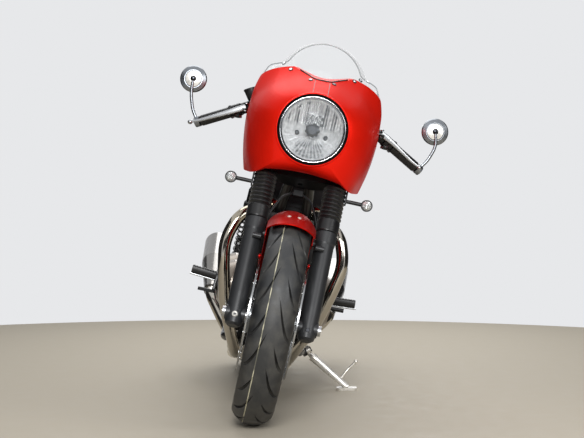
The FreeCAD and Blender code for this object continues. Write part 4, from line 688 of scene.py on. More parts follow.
# Darkened steel of bulb shields and joints.
SHIELD_DARK = Polished("darkened_steel", "#3b3d41", 0.2, pitch_mm=5.0, relief_mm=0.004)
# Oiled chain steel: brown-grey, catching light on the plates.
CHAIN_STEEL = CastMetal("oiled_chain_steel", "#6b675f", 0.34, pitch_mm=4.0, tone=0.25)
# Thin vinyl pinstripe.
STRIPE_BLACK = Finish("vinyl_pinstripe", "#0e0e10", 0.35, pitch_mm=1.5, relief_mm=0.004, coat=0.3)
# Die-cast lever, tumbled and clear-coated: soft silver.
LEVER_SILVER = CastMetal("tumbled_lever_alloy", "#b4b6b8", 0.3, pitch_mm=0.8, relief_mm=0.006, tone=0.06,
                         coat=0.3, coat_roughness=0.15)
# Back-silvered flat glass.
MIRROR_GLASS = Polished("silvered_glass", "#e4e8ea", 0.02, pitch_mm=40.0, relief_mm=0.0, tone=0.01)
# Ribbed pale lens over a foil bowl: reads as frosted white.
INDICATOR_CLEAR = Finish("ribbed_pale_lens", "#cfd2d2", 0.16, texture=Texture.GRAINED, metallic=0.6,
                         pitch_mm=3.4, relief_mm=0.5, coat=0.8, tone=0.35)
# Moulded amber lens.
AMBER_LENS = Smooth("amber_moulded_lens", "#c65a08", 0.14, pitch_mm=2.5, relief_mm=0.04, coat=0.8, tone=0.12)
# Screen-printed dial: matt black card.
DIAL_BLACK = Finish("matt_dial_card", "#101114", 0.6, pitch_mm=0.8, relief_mm=0.004)
# White print on the dials.
DIAL_WHITE = Finish("white_dial_print", "#e8e8e2", 0.5, pitch_mm=0.8, relief_mm=0.002, tone=0.03)
# Orange-red needle paint.
NEEDLE_RED = Finish("needle_paint", "#d0401a", 0.45, pitch_mm=0.8, relief_mm=0.002)


@dataclass(frozen=True)
class TyreMaterial(Look):
    """Tyre compound on the tyre's own chart of metres around and across.

    The crown is lighter and dusty, the walls darker, and a paint stripe from the
    making runs round beside the middle, worn through in places.
    """

    name: str = "tyre_compound"
    wall: str = "#1a1b1d"
    crown: str = "#313233"
    dust: str = "#6a675f"
    stripe: str = "#d6d1b4"
    stripe_at: float = -0.021
    stripe_half: float = 0.0012
    # painted shade: near black laid on the grooves' floors by their share of depth
    groove: str = "#050505"
    crown_half: float = 0.052

    def sockets(self, tree: Tree, place: Socket) -> dict:
        """Rubber by place across, then dust, painted shade on the grooves' floor, and the stripe."""
        chart = add(tree, "ShaderNodeUVMap", uv_map="chart").outputs[0]
        across = add(tree, "ShaderNodeSeparateXYZ", {0: chart}).outputs[1]
        far = combine(tree, "ABSOLUTE", across)
        on_crown = remap(tree, far, self.crown_half * 0.7, self.crown_half, 1.0, 0.0)
        speckle = noise(tree, place, 420.0)
        patches = noise(tree, place, 26.0, 4.0)
        dusty = combine(tree, "MULTIPLY", remap(tree, patches, 0.42, 0.72, 0.0, 0.55), speckle)
        rubber = blend(tree, on_crown, self.wall, self.crown)
        rubber = blend(tree, dusty, rubber, self.dust)
        # painted shade: the grooves' floors go near black by their share of depth
        rubber = blend(tree, depth_share(tree), rubber, self.groove)
        line = combine(tree, "COMPARE", across, self.stripe_at, self.stripe_half)
        line = combine(tree, "MULTIPLY", line, remap(tree, patches, 0.40, 0.52, 0.15, 0.85))
        return {
            "Base Color": blend(tree, line, rubber, self.stripe),
            "Roughness": remap(tree, patches, 0.3, 0.7, 0.38, 0.62),
            "Normal": relief(tree, speckle, 0.00005)}


# Carbon-black tyre compound from the mould.
TYRE_COMPOUND = TyreMaterial()


@dataclass(frozen=True)
class ClearMaterial(Look):
    """Clear plastic or glass: passes light straight on and keeps its surface gloss.

    cover is how much of the tint shows; the rest is seen through.
    """

    tint: str
    cover: float
    roughness: float = 0.02
    ior: float = 1.49

    def sockets(self, tree: Tree, place: Socket) -> dict:
        """A clear coat of gloss with faint smears."""
        smear = noise(tree, place, 30.0)
        return {
            "Base Color": linear(self.tint), "IOR": self.ior, "Alpha": self.cover,
            "Roughness": remap(tree, smear, 0.4, 0.7, self.roughness, self.roughness + 0.04)}


@dataclass(frozen=True)
class ReflectorMaterial(Look):
    """Metallised lamp plastic: bright, with a painted reflection: dark flutes painted where its facets would mirror
    the dark.

    The share of painted dark reflection is the third value of the surface's own chart.
    """

    name: str = "metallised_reflector"
    bright: str = "#fbfdff"
    dark: str = "#343a40"
    metallic: float = 0.3
    roughness: float = 0.15

    def sockets(self, tree: Tree, place: Socket) -> dict:
        """Bright metal, with a painted reflection: darkened by the chart's share and a faint cloud."""
        cloud = remap(tree, noise(tree, place, 90.0), 0.3, 0.7, -0.05, 0.35)
        share = combine(tree, "ADD", depth_share(tree), cloud, clamp=True)
        return {
            "Base Color": blend(tree, share, self.bright, self.dark),
            "Roughness": self.roughness, "Metallic": self.metallic}


# Metallised bowl behind the lamp's glass, with its dark reflections painted into its colour.
REFLECTOR = ReflectorMaterial()


@dataclass(frozen=True)
class HeatedSteel(Look):
    """Exhaust tube coloured by heat: straw and brown near the head, plain nickel lower.

    low and high are heights in metres between which the colour turns.
    """

    name: str = "heat_coloured_header"
    cool: str = "#bcb7ad"
    straw: str = "#a69b84"
    brown: str = "#6b5a49"
    low: float = 0.52
    high: float = 0.78

    def sockets(self, tree: Tree, place: Socket) -> dict:
        """Colour by height with a wandering edge, over fine grinding marks."""
        height = add(tree, "ShaderNodeSeparateXYZ", {0: place}).outputs[2]
        cloud = remap(tree, noise(tree, place, 9.0), 0.0, 1.0, -0.12, 0.12)
        heat = remap(tree, combine(tree, "ADD", height, cloud), self.low, self.high)
        colour = blend(tree, remap(tree, heat, 0.0, 0.6), self.cool, self.straw)
        fine = noise(tree, place, 700.0, 2.0)
        return {
            "Base Color": blend(tree, remap(tree, heat, 0.6, 1.0), colour, self.brown),
            "Roughness": remap(tree, fine, 0.3, 0.7, 0.08, 0.15),
            "Metallic": 1.0, "Normal": relief(tree, fine, 0.000004)}


# Stainless header pipes, used hard.
HEADER_STEEL = HeatedSteel()
# Cast acrylic screen: almost invisible face on, grey at its edges.
SCREEN_ACRYLIC = ClearMaterial("clear_screen_acrylic", "#dfe3e4", 0.10)
# Sawn and flamed edge of the screen: gathers light, so it reads darker and greyer.
EDGE_ACRYLIC = ClearMaterial("flamed_acrylic_edge", "#8d9698", 0.55)
# Lamp glass.
LAMP_GLASS = ClearMaterial("lamp_glass", "#dfe6e8", 0.10)

# finishes of the CAD nodes, with the nodes of each
NODE_FINISHES = (
    (TYRE_COMPOUND, "front_tyre rear_tyre"),
    (WHEEL_METAL, "front_wheel rear_wheel"),
    (DISC_STEEL, "front_brake_discs rear_brake_disc rear_sprocket"),
    (FRAME_BLACK, "headstock_frame frame_cradle_left frame_cradle_right seat_frame swingarm"),
    (ALLOY, "rear_axle front_axle hand_controls"),
    (BLACK_METAL, "rear_shocks radiator side_panels drive_chain footrests lower_yoke upper_yoke "
                  "clip_on_bars lamp_brackets"),
    (ENGINE_BLACK, "crankcase cylinder_block cylinder_head"),
    (COVER_SILVER, "engine_covers"),
    (BLACK_PLASTIC, "intake_bodies rear_mudguard rear_lamps chain_guard instruments front_indicators"),
    (HEADER_STEEL, "exhaust_headers"),
    (SILENCER_STEEL, "silencers"),
    (CANDY_RED, "fuel_tank seat_cowl fairing"),
    (SEAT_VINYL, "seat"),
    (CALIPER_BLACK, "rear_caliper front_calipers"),
    (HARD_CHROME, "fork_stanchions"),
    (BLACK_RUBBER, "fork_gaiters grips"),
    (FORK_GREY, "fork_lowers"),
    # the mudguard takes a darker copy of the candy: painted shade
    (CANDY_RED_PAINTED_SHADE, "front_mudguard"),
    (MIRROR_SHELL, "mirrors"),
    (SCREEN_ACRYLIC, "windscreen"),
    (BRIGHT_CHROME, "headlamp_shell filler_cap"),
    (LAMP_GLASS, "headlamp_lens"),
    (HOSE_SHEATH, "brake_hoses"),
    (POLISHED_ALLOY, "side_stand"),
)


# ---------------------------------------------------------------- pieces
def read_points(mesh: bpy.types.Mesh) -> Points:
    """The mesh's points as an array."""
    points = np.empty(len(mesh.vertices) * 3)
    mesh.vertices.foreach_get("co", points)
    return points.reshape(-1, 3)


def write_points(mesh: bpy.types.Mesh, points: Points) -> None:
    """Moves the mesh's points."""
    mesh.vertices.foreach_set("co", np.ascontiguousarray(points, dtype=np.float32).ravel())
    mesh.update()


def merge(mesh: bpy.types.Mesh) -> None:
    """Joins points that lie together."""
    edit = bmesh.new()
    edit.from_mesh(mesh)
    bmesh.ops.remove_doubles(edit, verts=edit.verts, dist=1e-6)
    edit.to_mesh(mesh)
    edit.free()


def bake(piece: bpy.types.Object) -> None:
    """Puts the result of the modifiers into the mesh and removes them."""
    bpy.context.view_layer.update()
    graph = bpy.context.evaluated_depsgraph_get()
    result = bpy.data.meshes.new_from_object(piece.evaluated_get(graph))
    piece.modifiers.clear()
    old = piece.data
    piece.data = result
    bpy.data.meshes.remove(old)


@dataclass
class Workshop:
    """Makes objects from surfaces and puts them on the machine's bodies."""

    frame: dict
    layout: Layout

    def dress(self, node: str, finish: Look) -> None:
        """Gives a CAD node its finish."""
        for slot in self.frame["nodes"][node].material_slots:
            slot.material = finish.material()

    def hits(self, nodes: tuple[str, ...], starts: Points, axes: Axes, direction: Points) -> tuple[Points,
                                                                                                   Points]:
        """Where lines meet the skin of pieces.

        Args:
            nodes: names of the pieces; the nearest of them counts.
            starts: where each line starts, in millimetres in the axes.
            axes: the axes of the lines.
            direction: the way that all the lines run, or one way for each.

        Returns:
            The places met and their outward normals, in the same axes.
        """
        trees = []
        for node in nodes:
            mesh = bpy.data.objects[node].data
            trees.append(BVHTree.FromPolygons([vertex.co for vertex in mesh.vertices],
                                              [face.vertices for face in mesh.polygons]))
        ways = np.broadcast_to(axes.way(direction), (len(starts), 3))
        places, normals = [], []
        for start, way in zip(axes.place(starts), ways):
            found = [tree.ray_cast(start.tolist(), way.tolist()) for tree in trees]
            found = [hit for hit in found if hit[0] is not None]
            if not found:
                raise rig.FrameError("a line meets none of " + ", ".join(nodes))
            place, normal = min(found, key=lambda hit: hit[3])[:2]
            places.append(place)
            normals.append(normal)
        return axes.local(np.array(places)), np.array(normals) @ axes.turn

    def piece(self, name: str, surface: Surface, axes: Axes, finish: Look, slot: str,
              crease: float = 32.0, wall: float = 0.0) -> bpy.types.Object:
        """Builds one object whose place is in its mesh.

        Args:
            name: the object's name.
            surface: its shape in millimetres in the given axes.
            axes: the axes that the shape is drawn in, whose body carries it.
            finish: its finish.
            slot: the material slot that it belongs to.
            crease: edges sharper than this many degrees stay sharp.
            wall: thickness in millimetres that an open sheet is given, or 0.

        Returns:
            The object, at the origin.
        """
        mesh = bpy.data.meshes.new(name)
        mesh.from_pydata(axes.place(surface.points).tolist(), [], surface.quads.tolist())
        if surface.chart is not None:
            layer = mesh.uv_layers.new(name="chart")
            corners = np.empty(len(mesh.loops), dtype=np.int32)
            mesh.loops.foreach_get("vertex_index", corners)
            layer.data.foreach_set("uv", surface.chart[corners, :2].astype(np.float32).ravel())
            if surface.chart.shape[1] > 2:
                depth = mesh.attributes.new("depth", "FLOAT", "POINT")
                depth.data.foreach_set("value", surface.chart[:, 2].astype(np.float32))
        edit = bmesh.new()
        edit.from_mesh(mesh)
        bmesh.ops.remove_doubles(edit, verts=edit.verts, dist=1e-6)
        bmesh.ops.dissolve_degenerate(edit, edges=edit.edges, dist=1e-7)
        bmesh.ops.recalc_face_normals(edit, faces=edit.faces)
        edit.to_mesh(mesh)
        edit.free()
        mesh.shade_smooth()
        mesh.set_sharp_from_angle(angle=radians(crease))
        made = bpy.data.objects.new(name, mesh)
        bpy.context.scene.collection.objects.link(made)
        if wall:
            made.modifiers.new("wall", "SOLIDIFY").thickness = wall * MM
        mesh.materials.append(finish.material())
        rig.ride(made, axes.body)
        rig.slot(made, slot)
        LOG.info("%s: %d faces on %s", name, len(mesh.polygons), axes.body)
        return made


# ---------------------------------------------------------------- head lamp
@dataclass
class HeadLamp:
    """Round lamp: painted lip, gasket, chromed ring, bezel, faceted reflector, bulb shield and glass.

    Stations run forwards from the lamp's centre.
    """

    shop: Workshop
    centre: Triple = (0, 60, 865)
    glass_radius: float = 89.2
    bezel_radius: float = 92.8
    ring_radius: float = 95.2
    ring_half: float = 1.8
    lip_radius: float = 104.2
    shell_radius: float = 108.4
    bowl_radius: float = 88.8
    depth: float = 66.0
    flute_pitch: float = 8.5
    group_pitch: float = 27.0
    check_pitch: Pair = (19, 17)
    parking_x: float = 43.5
    parking_z: float = -14.0

    def ahead(self, profile: list[Pair], segments: int) -> Surface:
        """A profile of radius and station turned about the lamp's axis."""
        return turned(profile, segments, self.centre, FORWARDS)

    def reflector(self) -> Surface:
        """Paraboloid with flutes above, a fan below and a stepped block over the bulb.

        station = 2 - depth * (1 - (r / bowl_radius) ** 2) + relief, where the relief is a
        sine across the upper half, a sine of the angle in the lower fan, and steps between.
        The share of dark, a painted reflection of the dark round the lamp, follows the same flutes, fan and block.
        """
        radius = np.linspace(15, self.bowl_radius, 66)[:, None]
        angle = np.linspace(0, 2 * pi, 300, endpoint=False)[None, :]
        across, up = radius * np.cos(angle), radius * np.sin(angle)
        aside = np.abs(across)
        inside = ramp(self.bowl_radius - radius, 0, 8)
        wave = np.sin(2 * pi * across / self.flute_pitch)
        check_across, check_up = self.check_pitch
        checks = np.sign(np.sin(2 * pi * across / check_across)) * np.sign(np.sin(2 * pi * up / check_up))
        station = 2.0 - self.depth * (1 - (radius / self.bowl_radius) ** 2) + 0 * angle
        station += 3.2 * wave * ramp(up, 12, 20) * inside
        station += 2.0 * np.sin(26 * angle) * ramp(-up, 16, 28) * inside
        block = ramp(29 - aside, 0, 1.6) * ramp(up, 13, 15) * ramp(48 - up, 0, 2)
        station += block * (6.0 + 2.2 * checks)
        # painted reflection: shares of dark for the flutes, fan, block and crest, where the bowl would mirror the dark
        groups = 0.62 + 0.38 * np.sin(2 * pi * across / self.group_pitch + 0.8)
        flutes = ramp(up, 2, 20) * ramp(aside, 18, 25) * groups * (0.25 + 0.75 * ramp(wave, -0.9, 0.6))
        rays = 0.3 + 0.3 * ramp(np.sin(43 * angle), -0.7, 0.7)
        fan = ramp(-up, 28, 40) * ramp(50.0 - aside, 0, 16) * rays
        crest = 0.3 * ramp(up, 46, 56) * (1 - ramp(aside, 16, 24))
        painted_reflection_dark = np.maximum(np.maximum(flutes * 0.85, fan), np.maximum(block * (0.4 + 0.25 * checks), crest))
        points = columns(across, up, station)
        chart = columns(across * MM, up * MM, painted_reflection_dark * inside).reshape(-1, 3)
        bowl = grid(points, wrap_columns=True)
        return replace(bowl, chart=chart).moved(self.centre, toward(FORWARDS))

    def shield(self) -> Surface:
        """Scalloped cap over the bulb: radius = r * (1 + 0.07 cos 9a)."""
        profile = np.array([(0, -14), (6, -14), (7, -16.5), (12, -16.5), (13, -15), (19.5, -17), (21, -20),
                            (20, -34), (16, -58)], float)
        angle = np.linspace(0, 2 * pi, 108, endpoint=False)
        swell = 1 + 0.07 * np.cos(9 * angle) * ramp(profile[:, 0, None], 8, 20)
        radius = profile[:, 0, None] * swell
        points = columns(radius * np.cos(angle), radius * np.sin(angle), profile[:, 1, None])
        return grid(points, wrap_columns=True).moved(self.centre, toward(FORWARDS))

    def build(self) -> None:
        """Makes the lamp's pieces on the steered body."""
        shop, front = self.shop, self.shop.layout.front
        lip, far = self.lip_radius, self.shell_radius
        ring, bezel = self.ring_radius, self.bezel_radius
        rolled = self.ahead([(far, 3), (far - 0.3, 7.6), (far - 1.4, 9.4), (far - 2.6, 10), (lip + 0.5, 10),
                             (lip, 9.6), (lip, 4)], 144)
        shop.piece("lamp_opening_lip", rolled, front, CANDY_RED, "red_paint")
        gasket = self.ahead([(lip + 0.1, 4), (lip, 9.4), (lip - 1, 9.9), (ring + 1, 9.8), (ring + 1, 4)], 120)
        shop.piece("lamp_gasket", gasket, front, GASKET_RUBBER, "black_rubber")
        round_angle = np.linspace(-0.25 * pi, 1.25 * pi, 15)
        beads = columns(ring + self.ring_half * np.cos(round_angle),
                        9.6 + self.ring_half * 0.9 * np.sin(round_angle))
        shop.piece("lamp_ring", self.ahead(beads.tolist(), 160), front, BRIGHT_CHROME, "chrome")
        groove = self.ahead([(bezel + 0.9, 8), (bezel, 11), (bezel - 1.6, 10.8), (bezel - 2, 9.6)], 120)
        shop.piece("lamp_bezel", groove, front, BEZEL_DARK, "chrome")
        shop.piece("lamp_reflector", self.reflector(), front, REFLECTOR, "chrome", crease=50.0)
        shop.piece("bulb_shield", self.shield(), front, SHIELD_DARK, "chrome", crease=40.0)
        cup = turned([(0, 5), (3, 5), (4.2, 2.5), (7.2, 1.5), (7.6, -3)], 32, ZERO, FORWARDS)
        places = [np.array(self.centre) + [side * self.parking_x, 44.0, self.parking_z] for side in (-1, 1)]
        lamps = repeated(cup, places)
        shop.piece("parking_bulbs", lamps, front, SHIELD_DARK, "chrome")
        radius = np.linspace(0, self.glass_radius, 24)
        dome = columns(radius, 4.2 + 9.6 * (1 - (radius / self.glass_radius) ** 2))
        cover = self.ahead(dome.tolist(), 96)
        glass = shop.piece("lamp_glass_dome", cover, front, LAMP_GLASS, "lens_glass")
        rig.replaces(glass, "headlamp_lens")


# ---------------------------------------------------------------- wheels
@dataclass
class TreadedTyre:
    """Tyre with swept grooves, in place of the plain CAD ring.

    The surface is a grid of angle by place across. Lines of the grid are sheared so that
    a groove follows them: angle = start + sweep of the distance from the middle.
    """

    shop: Workshop
    node: str
    axes: Axes
    hub: Triple
    radius: float
    width: float
    rim_width: float
    periods: int
    turn_way: float = 1.0
    flange: float = 231.0
    bead_radius: float = 218.3
    long_groove: Pair = (8, 0.95)
    short_groove: Pair = (0.30, 0.93)
    sweep_mm: float = 124.0
    groove_half: float = 9.4
    groove_depth: float = 5.6
    widest_share: float = 0.30
    shoulder_share: float = 0.52
    shoulder_inset: float = 1.5

    def crown(self) -> Triple:
        """Half width and radius of the shoulder, and the crown's radius: (w ** 2 + h ** 2) / (2 h)."""
        reach = self.width / 2 - self.shoulder_inset
        shoulder = self.flange + self.shoulder_share * (self.radius - self.flange)
        rise = self.radius - shoulder
        return reach, shoulder, (reach ** 2 + rise ** 2) / (2 * rise)

    def section(self) -> tuple[Points, Points, Points]:
        """Closed cross-section: places across, radii, and 1 on the crown, from bead to bead."""
        half = self.width / 2
        widest = self.flange + self.widest_share * (self.radius - self.flange)
        reach, shoulder, crown = self.crown()
        bead, lip = self.rim_width / 2 - 6, self.rim_width / 2 + 2.0
        wall = curve([(lip, self.flange + 1.3), (lip + 2, self.flange + 4), (half - 1.5, widest - 8),
                      (half - 0.2, widest - 1), (half - 0.2, (widest + shoulder) / 2), (reach, shoulder)], 15)
        low_rib = np.exp(-((wall[:, 1] - widest + 4) / 1.2) ** 2)
        high_rib = np.exp(-((wall[:, 1] - shoulder + 3.5) / 1.2) ** 2)
        wall[:, 0] -= 0.4 - 0.8 * (0.5 * low_rib + 0.5 * high_rib)
        side = np.concatenate([[(bead, self.bead_radius), (bead + 0.7, self.flange + 0.3)], wall])
        turn = np.linspace(1, -1, 53)[1:-1] * np.arcsin(reach / crown)
        tread = columns(crown * np.sin(turn), self.radius - crown + crown * np.cos(turn))
        mirrored_side = side[::-1] * np.array([-1.0, 1.0])
        whole = np.concatenate([side, tread, mirrored_side])
        on_crown = np.concatenate([np.zeros(len(side)), np.ones(len(tread)), np.zeros(len(side))])
        return whole[:, 0], whole[:, 1], on_crown

    def surface(self) -> Surface:
        """The whole tyre, with its chart of metres around and across."""
        across, radius, on_crown = self.section()
        reach, _, crown = self.crown()
        far = np.abs(across)
        half_period = pi * self.radius / self.periods
        edge = self.groove_half
        steps = np.array([-edge, -edge * 0.62, 0.0, edge * 0.62, edge])
        between = np.linspace(edge, half_period - edge, 15)[1:-1]
        offsets = np.concatenate([steps, between])
        is_groove = np.array([0.0, 1.0, 1.0, 1.0, 0.0] + [0.0] * len(between))
        near_groove = np.array([1.0] * 5 + [0.0] * len(between))
        halves = np.arange(2 * self.periods)
        base = (halves[:, None] * half_period + offsets).ravel()[:, None]
        local = np.tile(offsets * near_groove, len(halves))[:, None]
        groove = np.tile(is_groove, len(halves))[:, None]
        odd = np.repeat(halves % 2, len(offsets))[:, None]
        is_long = (odd == 0) == (across[None, :] > 0)
        start = np.where(is_long, self.long_groove[0], self.short_groove[0] * reach)
        end = np.where(is_long, self.long_groove[1] * reach, self.short_groove[1] * reach)
        opening = ramp(far[None, :], start, start + 13) ** 0.8
        share = opening * ramp(end - far[None, :], 0, 0.3 * reach) ** 0.7
        narrowing = local * (0.22 + 0.78 * share) - local
        sweep = self.sweep_mm * (1.0 - (1.0 - ramp(far, 5, reach)) ** 1.6)
        angle = self.turn_way * (base + narrowing + sweep[None, :]) / self.radius
        depth = self.groove_depth * groove * share * on_crown[None, :]
        place = across[None, :] - depth * across[None, :] / crown
        out = radius[None, :] - depth * (radius[None, :] - self.radius + crown) / crown
        points = columns(place, -out * np.sin(angle), out * np.cos(angle)) + np.array(self.hub)
        around = (base + narrowing) * MM
        # the chart's third value, the share of groove depth, is where the tyre's material paints shade
        chart = columns(around, place * MM, depth / self.groove_depth).reshape(-1, 3)
        return replace(grid(points, wrap_rows=True, wrap_columns=True), chart=chart)

    def build(self) -> None:
        """Makes the tyre in place of its CAD node."""
        tyre = self.shop.piece(self.node + "_treaded", self.surface(), self.axes, TYRE_COMPOUND,
                               "tyre_rubber", crease=38.0)
        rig.replaces(tyre, self.node)


@dataclass
class RollerChain:
    """Chain of alternate inner and outer links round both sprockets."""

    shop: Workshop
    offset: float = 96.0
    pitch: float = 15.875
    front: tuple[float, float, int] = (800, 374, 16)
    rear: tuple[float, float, int] = (1415, 312, 42)

    def pins(self) -> Points:
        """Pin places (y, z) at equal steps along the loop: two arcs and their tangents."""
        centres = np.array([self.front[:2], self.rear[:2]])
        radii = np.array([self.pitch / (2 * sin(pi / row[2])) for row in (self.front, self.rear)])
        run = centres[1] - centres[0]
        length = np.linalg.norm(run)
        slope = np.arctan2(run[1], run[0])
        spread = np.arcsin((radii[1] - radii[0]) / length)
        up, down = slope + pi / 2 + spread, slope - pi / 2 - spread
        ends = []
        for index, (first, last) in enumerate([(up, down + 2 * pi), (down, up)]):
            angle = np.linspace(first, last, 400)
            ends.append(centres[index] + radii[index] * columns(np.cos(angle), np.sin(angle)))
        loop = np.concatenate([ends[0], ends[1], ends[0][:1]])
        step = np.concatenate([[0.0], np.cumsum(np.linalg.norm(np.diff(loop, axis=0), axis=1))])
        count = int(round(step[-1] / self.pitch / 2)) * 2
        wanted = np.linspace(0, step[-1], count, endpoint=False)
        return np.stack([np.interp(wanted, step, loop[:, axis]) for axis in (0, 1)], axis=1)

    def plate(self, inner: float, outer: float) -> Surface:
        """Waisted link plate: half height = 5.4 + 1.7 * (y / half pitch) ** 2, round at its ends."""
        angle = np.linspace(0, 2 * pi, 18, endpoint=False)
        along = (self.pitch / 2 + 6.6) * np.sign(np.cos(angle)) * np.abs(np.cos(angle)) ** 0.7
        tall = (5.4 + 1.7 * np.clip(np.abs(along) / (self.pitch / 2), 0, 1) ** 2) * np.sin(angle)
        tall = np.sign(tall) * np.minimum(np.abs(tall), 7.1)
        outline = columns(along, tall)
        both = [carried(outline, [(side * inner, 0, 0), (side * outer, 0, 0)]) for side in (-1, 1)]
        return together(both)

    def build(self) -> None:
        """Makes plates and rollers in place of the plain loop."""
        pins = self.pins()
        following = np.roll(pins, -1, axis=0)
        middle = (pins + following) / 2
        way = following - pins
        way /= np.linalg.norm(way, axis=1, keepdims=True)
        turns = columns(columns(1, 0, 0), columns(0, way[:, 0], way[:, 1]),
                        columns(0, -way[:, 1], way[:, 0]))
        origins = columns(self.offset, middle[:, 0], middle[:, 1])
        outer = repeated(self.plate(6.6, 8.1), origins[::2], turns[::2])
        inner = repeated(self.plate(4.9, 6.4), origins[1::2], turns[1::2])
        roller = turned([(0, -8.9), (2.4, -8.9), (2.6, -6.5), (5, -4.8), (5, 4.8), (2.6, 6.5), (2.4, 8.9),
                         (0, 8.9)], 12, ZERO, LEFTWARDS)
        rollers = repeated(roller, columns(self.offset, pins[:, 0], pins[:, 1]))
        chain = self.shop.piece("roller_chain", together([outer, inner, rollers]), self.shop.layout.chassis,
                                CHAIN_STEEL, "black_metal", crease=30.0)
        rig.replaces(chain, "drive_chain")


# ---------------------------------------------------------------- front end trim
@dataclass
class BubbleScreen:
    """Clear bubble with flat wings, in place of the plain sheet behind the shell.

    It is drawn by angle round a line along the machine and by place along that line. Its
    radius is that of the shell's own skin in front, and further back the larger of a
    dome that narrows rearwards and of a sloping wing, but never more than the skin's.
    """

    shop: Workshop
    line_z: float = 960.0
    rear_y: float = 298.8
    front_y: float = 100.0
    last_skin_y: float = 278.0
    rear_drop: float = 6.0
    waist_y: float = 206.0
    dome: Pair = (197, 124)
    wing_x: Pair = (99, 113)
    wing_z: Pair = (1050, 1070)
    wing_slope: Pair = (0.66, 0.36)
    least_angle: float = radians(4.5)
    stations: int = 121
    rows: int = 30
    # the shell's upper edge from the side: y and z
    shell_edge: tuple[Pair, ...] = ((20, 996), (95, 1004), (140, 1019), (206, 1050),
                                    (226, 1038), (330, 950))
    seal_reach: float = 76.0

    def radii(self, angle: Points, along: Points) -> Points:
        """Radius of the screen for each place along (rows) and each angle (columns).

        With t from 0 at the waist to 1 at the rear edge, the dome's circle has radius r(t)
        and touches the skin's top, and the wing is the line through (x(t), z(t)) of slope
        m(t): radius = (z - line_z + m x) / (sin a + m |cos a|).
        """
        way = columns(np.cos(angle), 0, np.sin(angle))
        centres = columns(0, np.minimum(along, self.last_skin_y), self.line_z)
        starts = centres[:, None, :] + 400.0 * way[None, :, :]
        ways = np.broadcast_to(-way[None, :, :], starts.shape).reshape(-1, 3)
        met, _ = self.shop.hits(("fairing", "windscreen"), starts.reshape(-1, 3),
                                self.shop.layout.front, ways)
        skin = np.linalg.norm(met.reshape(starts.shape) - centres[:, None, :], axis=2)
        t = ramp(along, self.waist_y, self.rear_y)[:, None]
        pairs = (self.dome, self.wing_x, self.wing_z, self.wing_slope)
        circle, wing_x, wing_z, slope = (low + (high - low) * t for low, high in pairs)
        sine, cosine = np.sin(angle)[None, :], np.abs(np.cos(angle))[None, :]
        top = skin[:, len(angle) // 2, None] - circle - self.rear_drop * t ** 2
        dome = top * sine + np.sqrt(np.maximum(circle ** 2 - (top * cosine) ** 2, 0))
        wing = (wing_z - self.line_z + slope * wing_x) / (sine + slope * cosine)
        share = ramp(along, self.waist_y - 60, self.waist_y)[:, None]
        shaped = np.minimum(skin, np.maximum(dome, wing))
        radius = skin * (1 - share) + shaped * share
        for _ in range(4):
            radius[:, 1:-1] = (radius[:, :-2] + 2 * radius[:, 1:-1] + radius[:, 2:]) / 4
        return radius

    def surface(self) -> Surface:
        """Sheet from the shell's upper edge to the rear edge, as rows of equal shares of the way."""
        angle = np.linspace(self.least_angle, pi - self.least_angle, self.stations)
        along = np.linspace(self.front_y, self.rear_y, 90)
        radius = self.radii(angle, along)
        edge = np.array(self.shell_edge)
        skin_edge = np.interp(along, edge[:, 0], edge[:, 1])[:, None] + 0.4
        above = self.line_z + radius * np.sin(angle)[None, :] > skin_edge
        first = len(along) - np.argmin(above[::-1], axis=0)
        first = np.where(above.all(axis=0), 0, np.minimum(first, len(along) - 2))
        start = along[first]
        place = start[None, :] + (self.rear_y - start)[None, :] * np.linspace(0, 1, self.rows)[:, None]
        row = (place - along[0]) / (along[1] - along[0])
        low = np.clip(row.astype(int), 0, len(along) - 2)
        column = np.arange(self.stations)[None, :]
        far = radius[low, column] * (1 - row + low) + radius[low + 1, column] * (row - low)
        points = columns(far * np.cos(angle), place, self.line_z + far * np.sin(angle))
        return grid(points)

    def build(self) -> None:
        """Makes the sheet, the bead on its rear edge and the seal on its front edge."""
        shop, front = self.shop, self.shop.layout.front
        sheet = self.surface()
        screen = shop.piece("bubble_screen", sheet, front, SCREEN_ACRYLIC, "clear_plastic", wall=3.0)
        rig.replaces(screen, "windscreen")
        points = sheet.points.reshape(self.rows, self.stations, 3)
        bead = carried(ring_profile(1.8, 8), points[-1], up=BACKWARDS)
        shop.piece("screen_edge", bead, front, EDGE_ACRYLIC, "clear_plastic")
        path = points[0][np.abs(points[0][:, 0]) < self.seal_reach]
        seal = carried(ring_profile(2.4, 8), path, up=BACKWARDS)
        shop.piece("screen_seal", seal, front, BLACK_RUBBER, "black_rubber")


@dataclass
class ShellTrim:
    """Trim of the front shell: the screen's screws and two pinstripes."""

    shop: Workshop
    screw_places: tuple[Pair, ...] = (
        (-125, 1056), (-101, 1038), (-36, 1013), (35, 1015), (94, 1043), (112, 1052), (137, 1060))
    stripe_x: Pair = (-22, 22.5)
    stripe_low: float = 969.0
    stripe_high: float = 1016.0

    def build(self) -> None:
        """Makes the trim on the steered body."""
        shop, front = self.shop, self.shop.layout.front
        starts = np.array([(x, -200.0, z) for x, z in self.screw_places])
        places, normals = shop.hits(("fairing", "bubble_screen"), starts, front, BACKWARDS)
        screws = socket_screws(places - normals * 0.4, normals, 4.4, 2.8)
        shop.piece("screen_screws", screws, front, BRIGHT_CHROME, "chrome")
        washers = repeated(turned([(7, 0), (7, 1.2), (3, 1.4)], 20), places, towards(normals))
        shop.piece("screen_washers", washers, front, BLACK_RUBBER, "black_rubber")
        lines = []
        for x in self.stripe_x:
            rise = np.linspace(self.stripe_low, self.stripe_high, 26)
            starts = columns(x, -200, rise)
            path, normals = shop.hits(("fairing",), starts, front, BACKWARDS)
            edge = np.array([0.9, 0.0, 0.0])
            low, high = normals * 0.3, normals * 0.25
            corners = [path - edge - low, path - edge + high, path + edge + high, path + edge - low]
            lines.append(grid(np.stack(corners, axis=1)))
        shop.piece("shell_pinstripes", together(lines), front, STRIPE_BLACK, "red_paint")


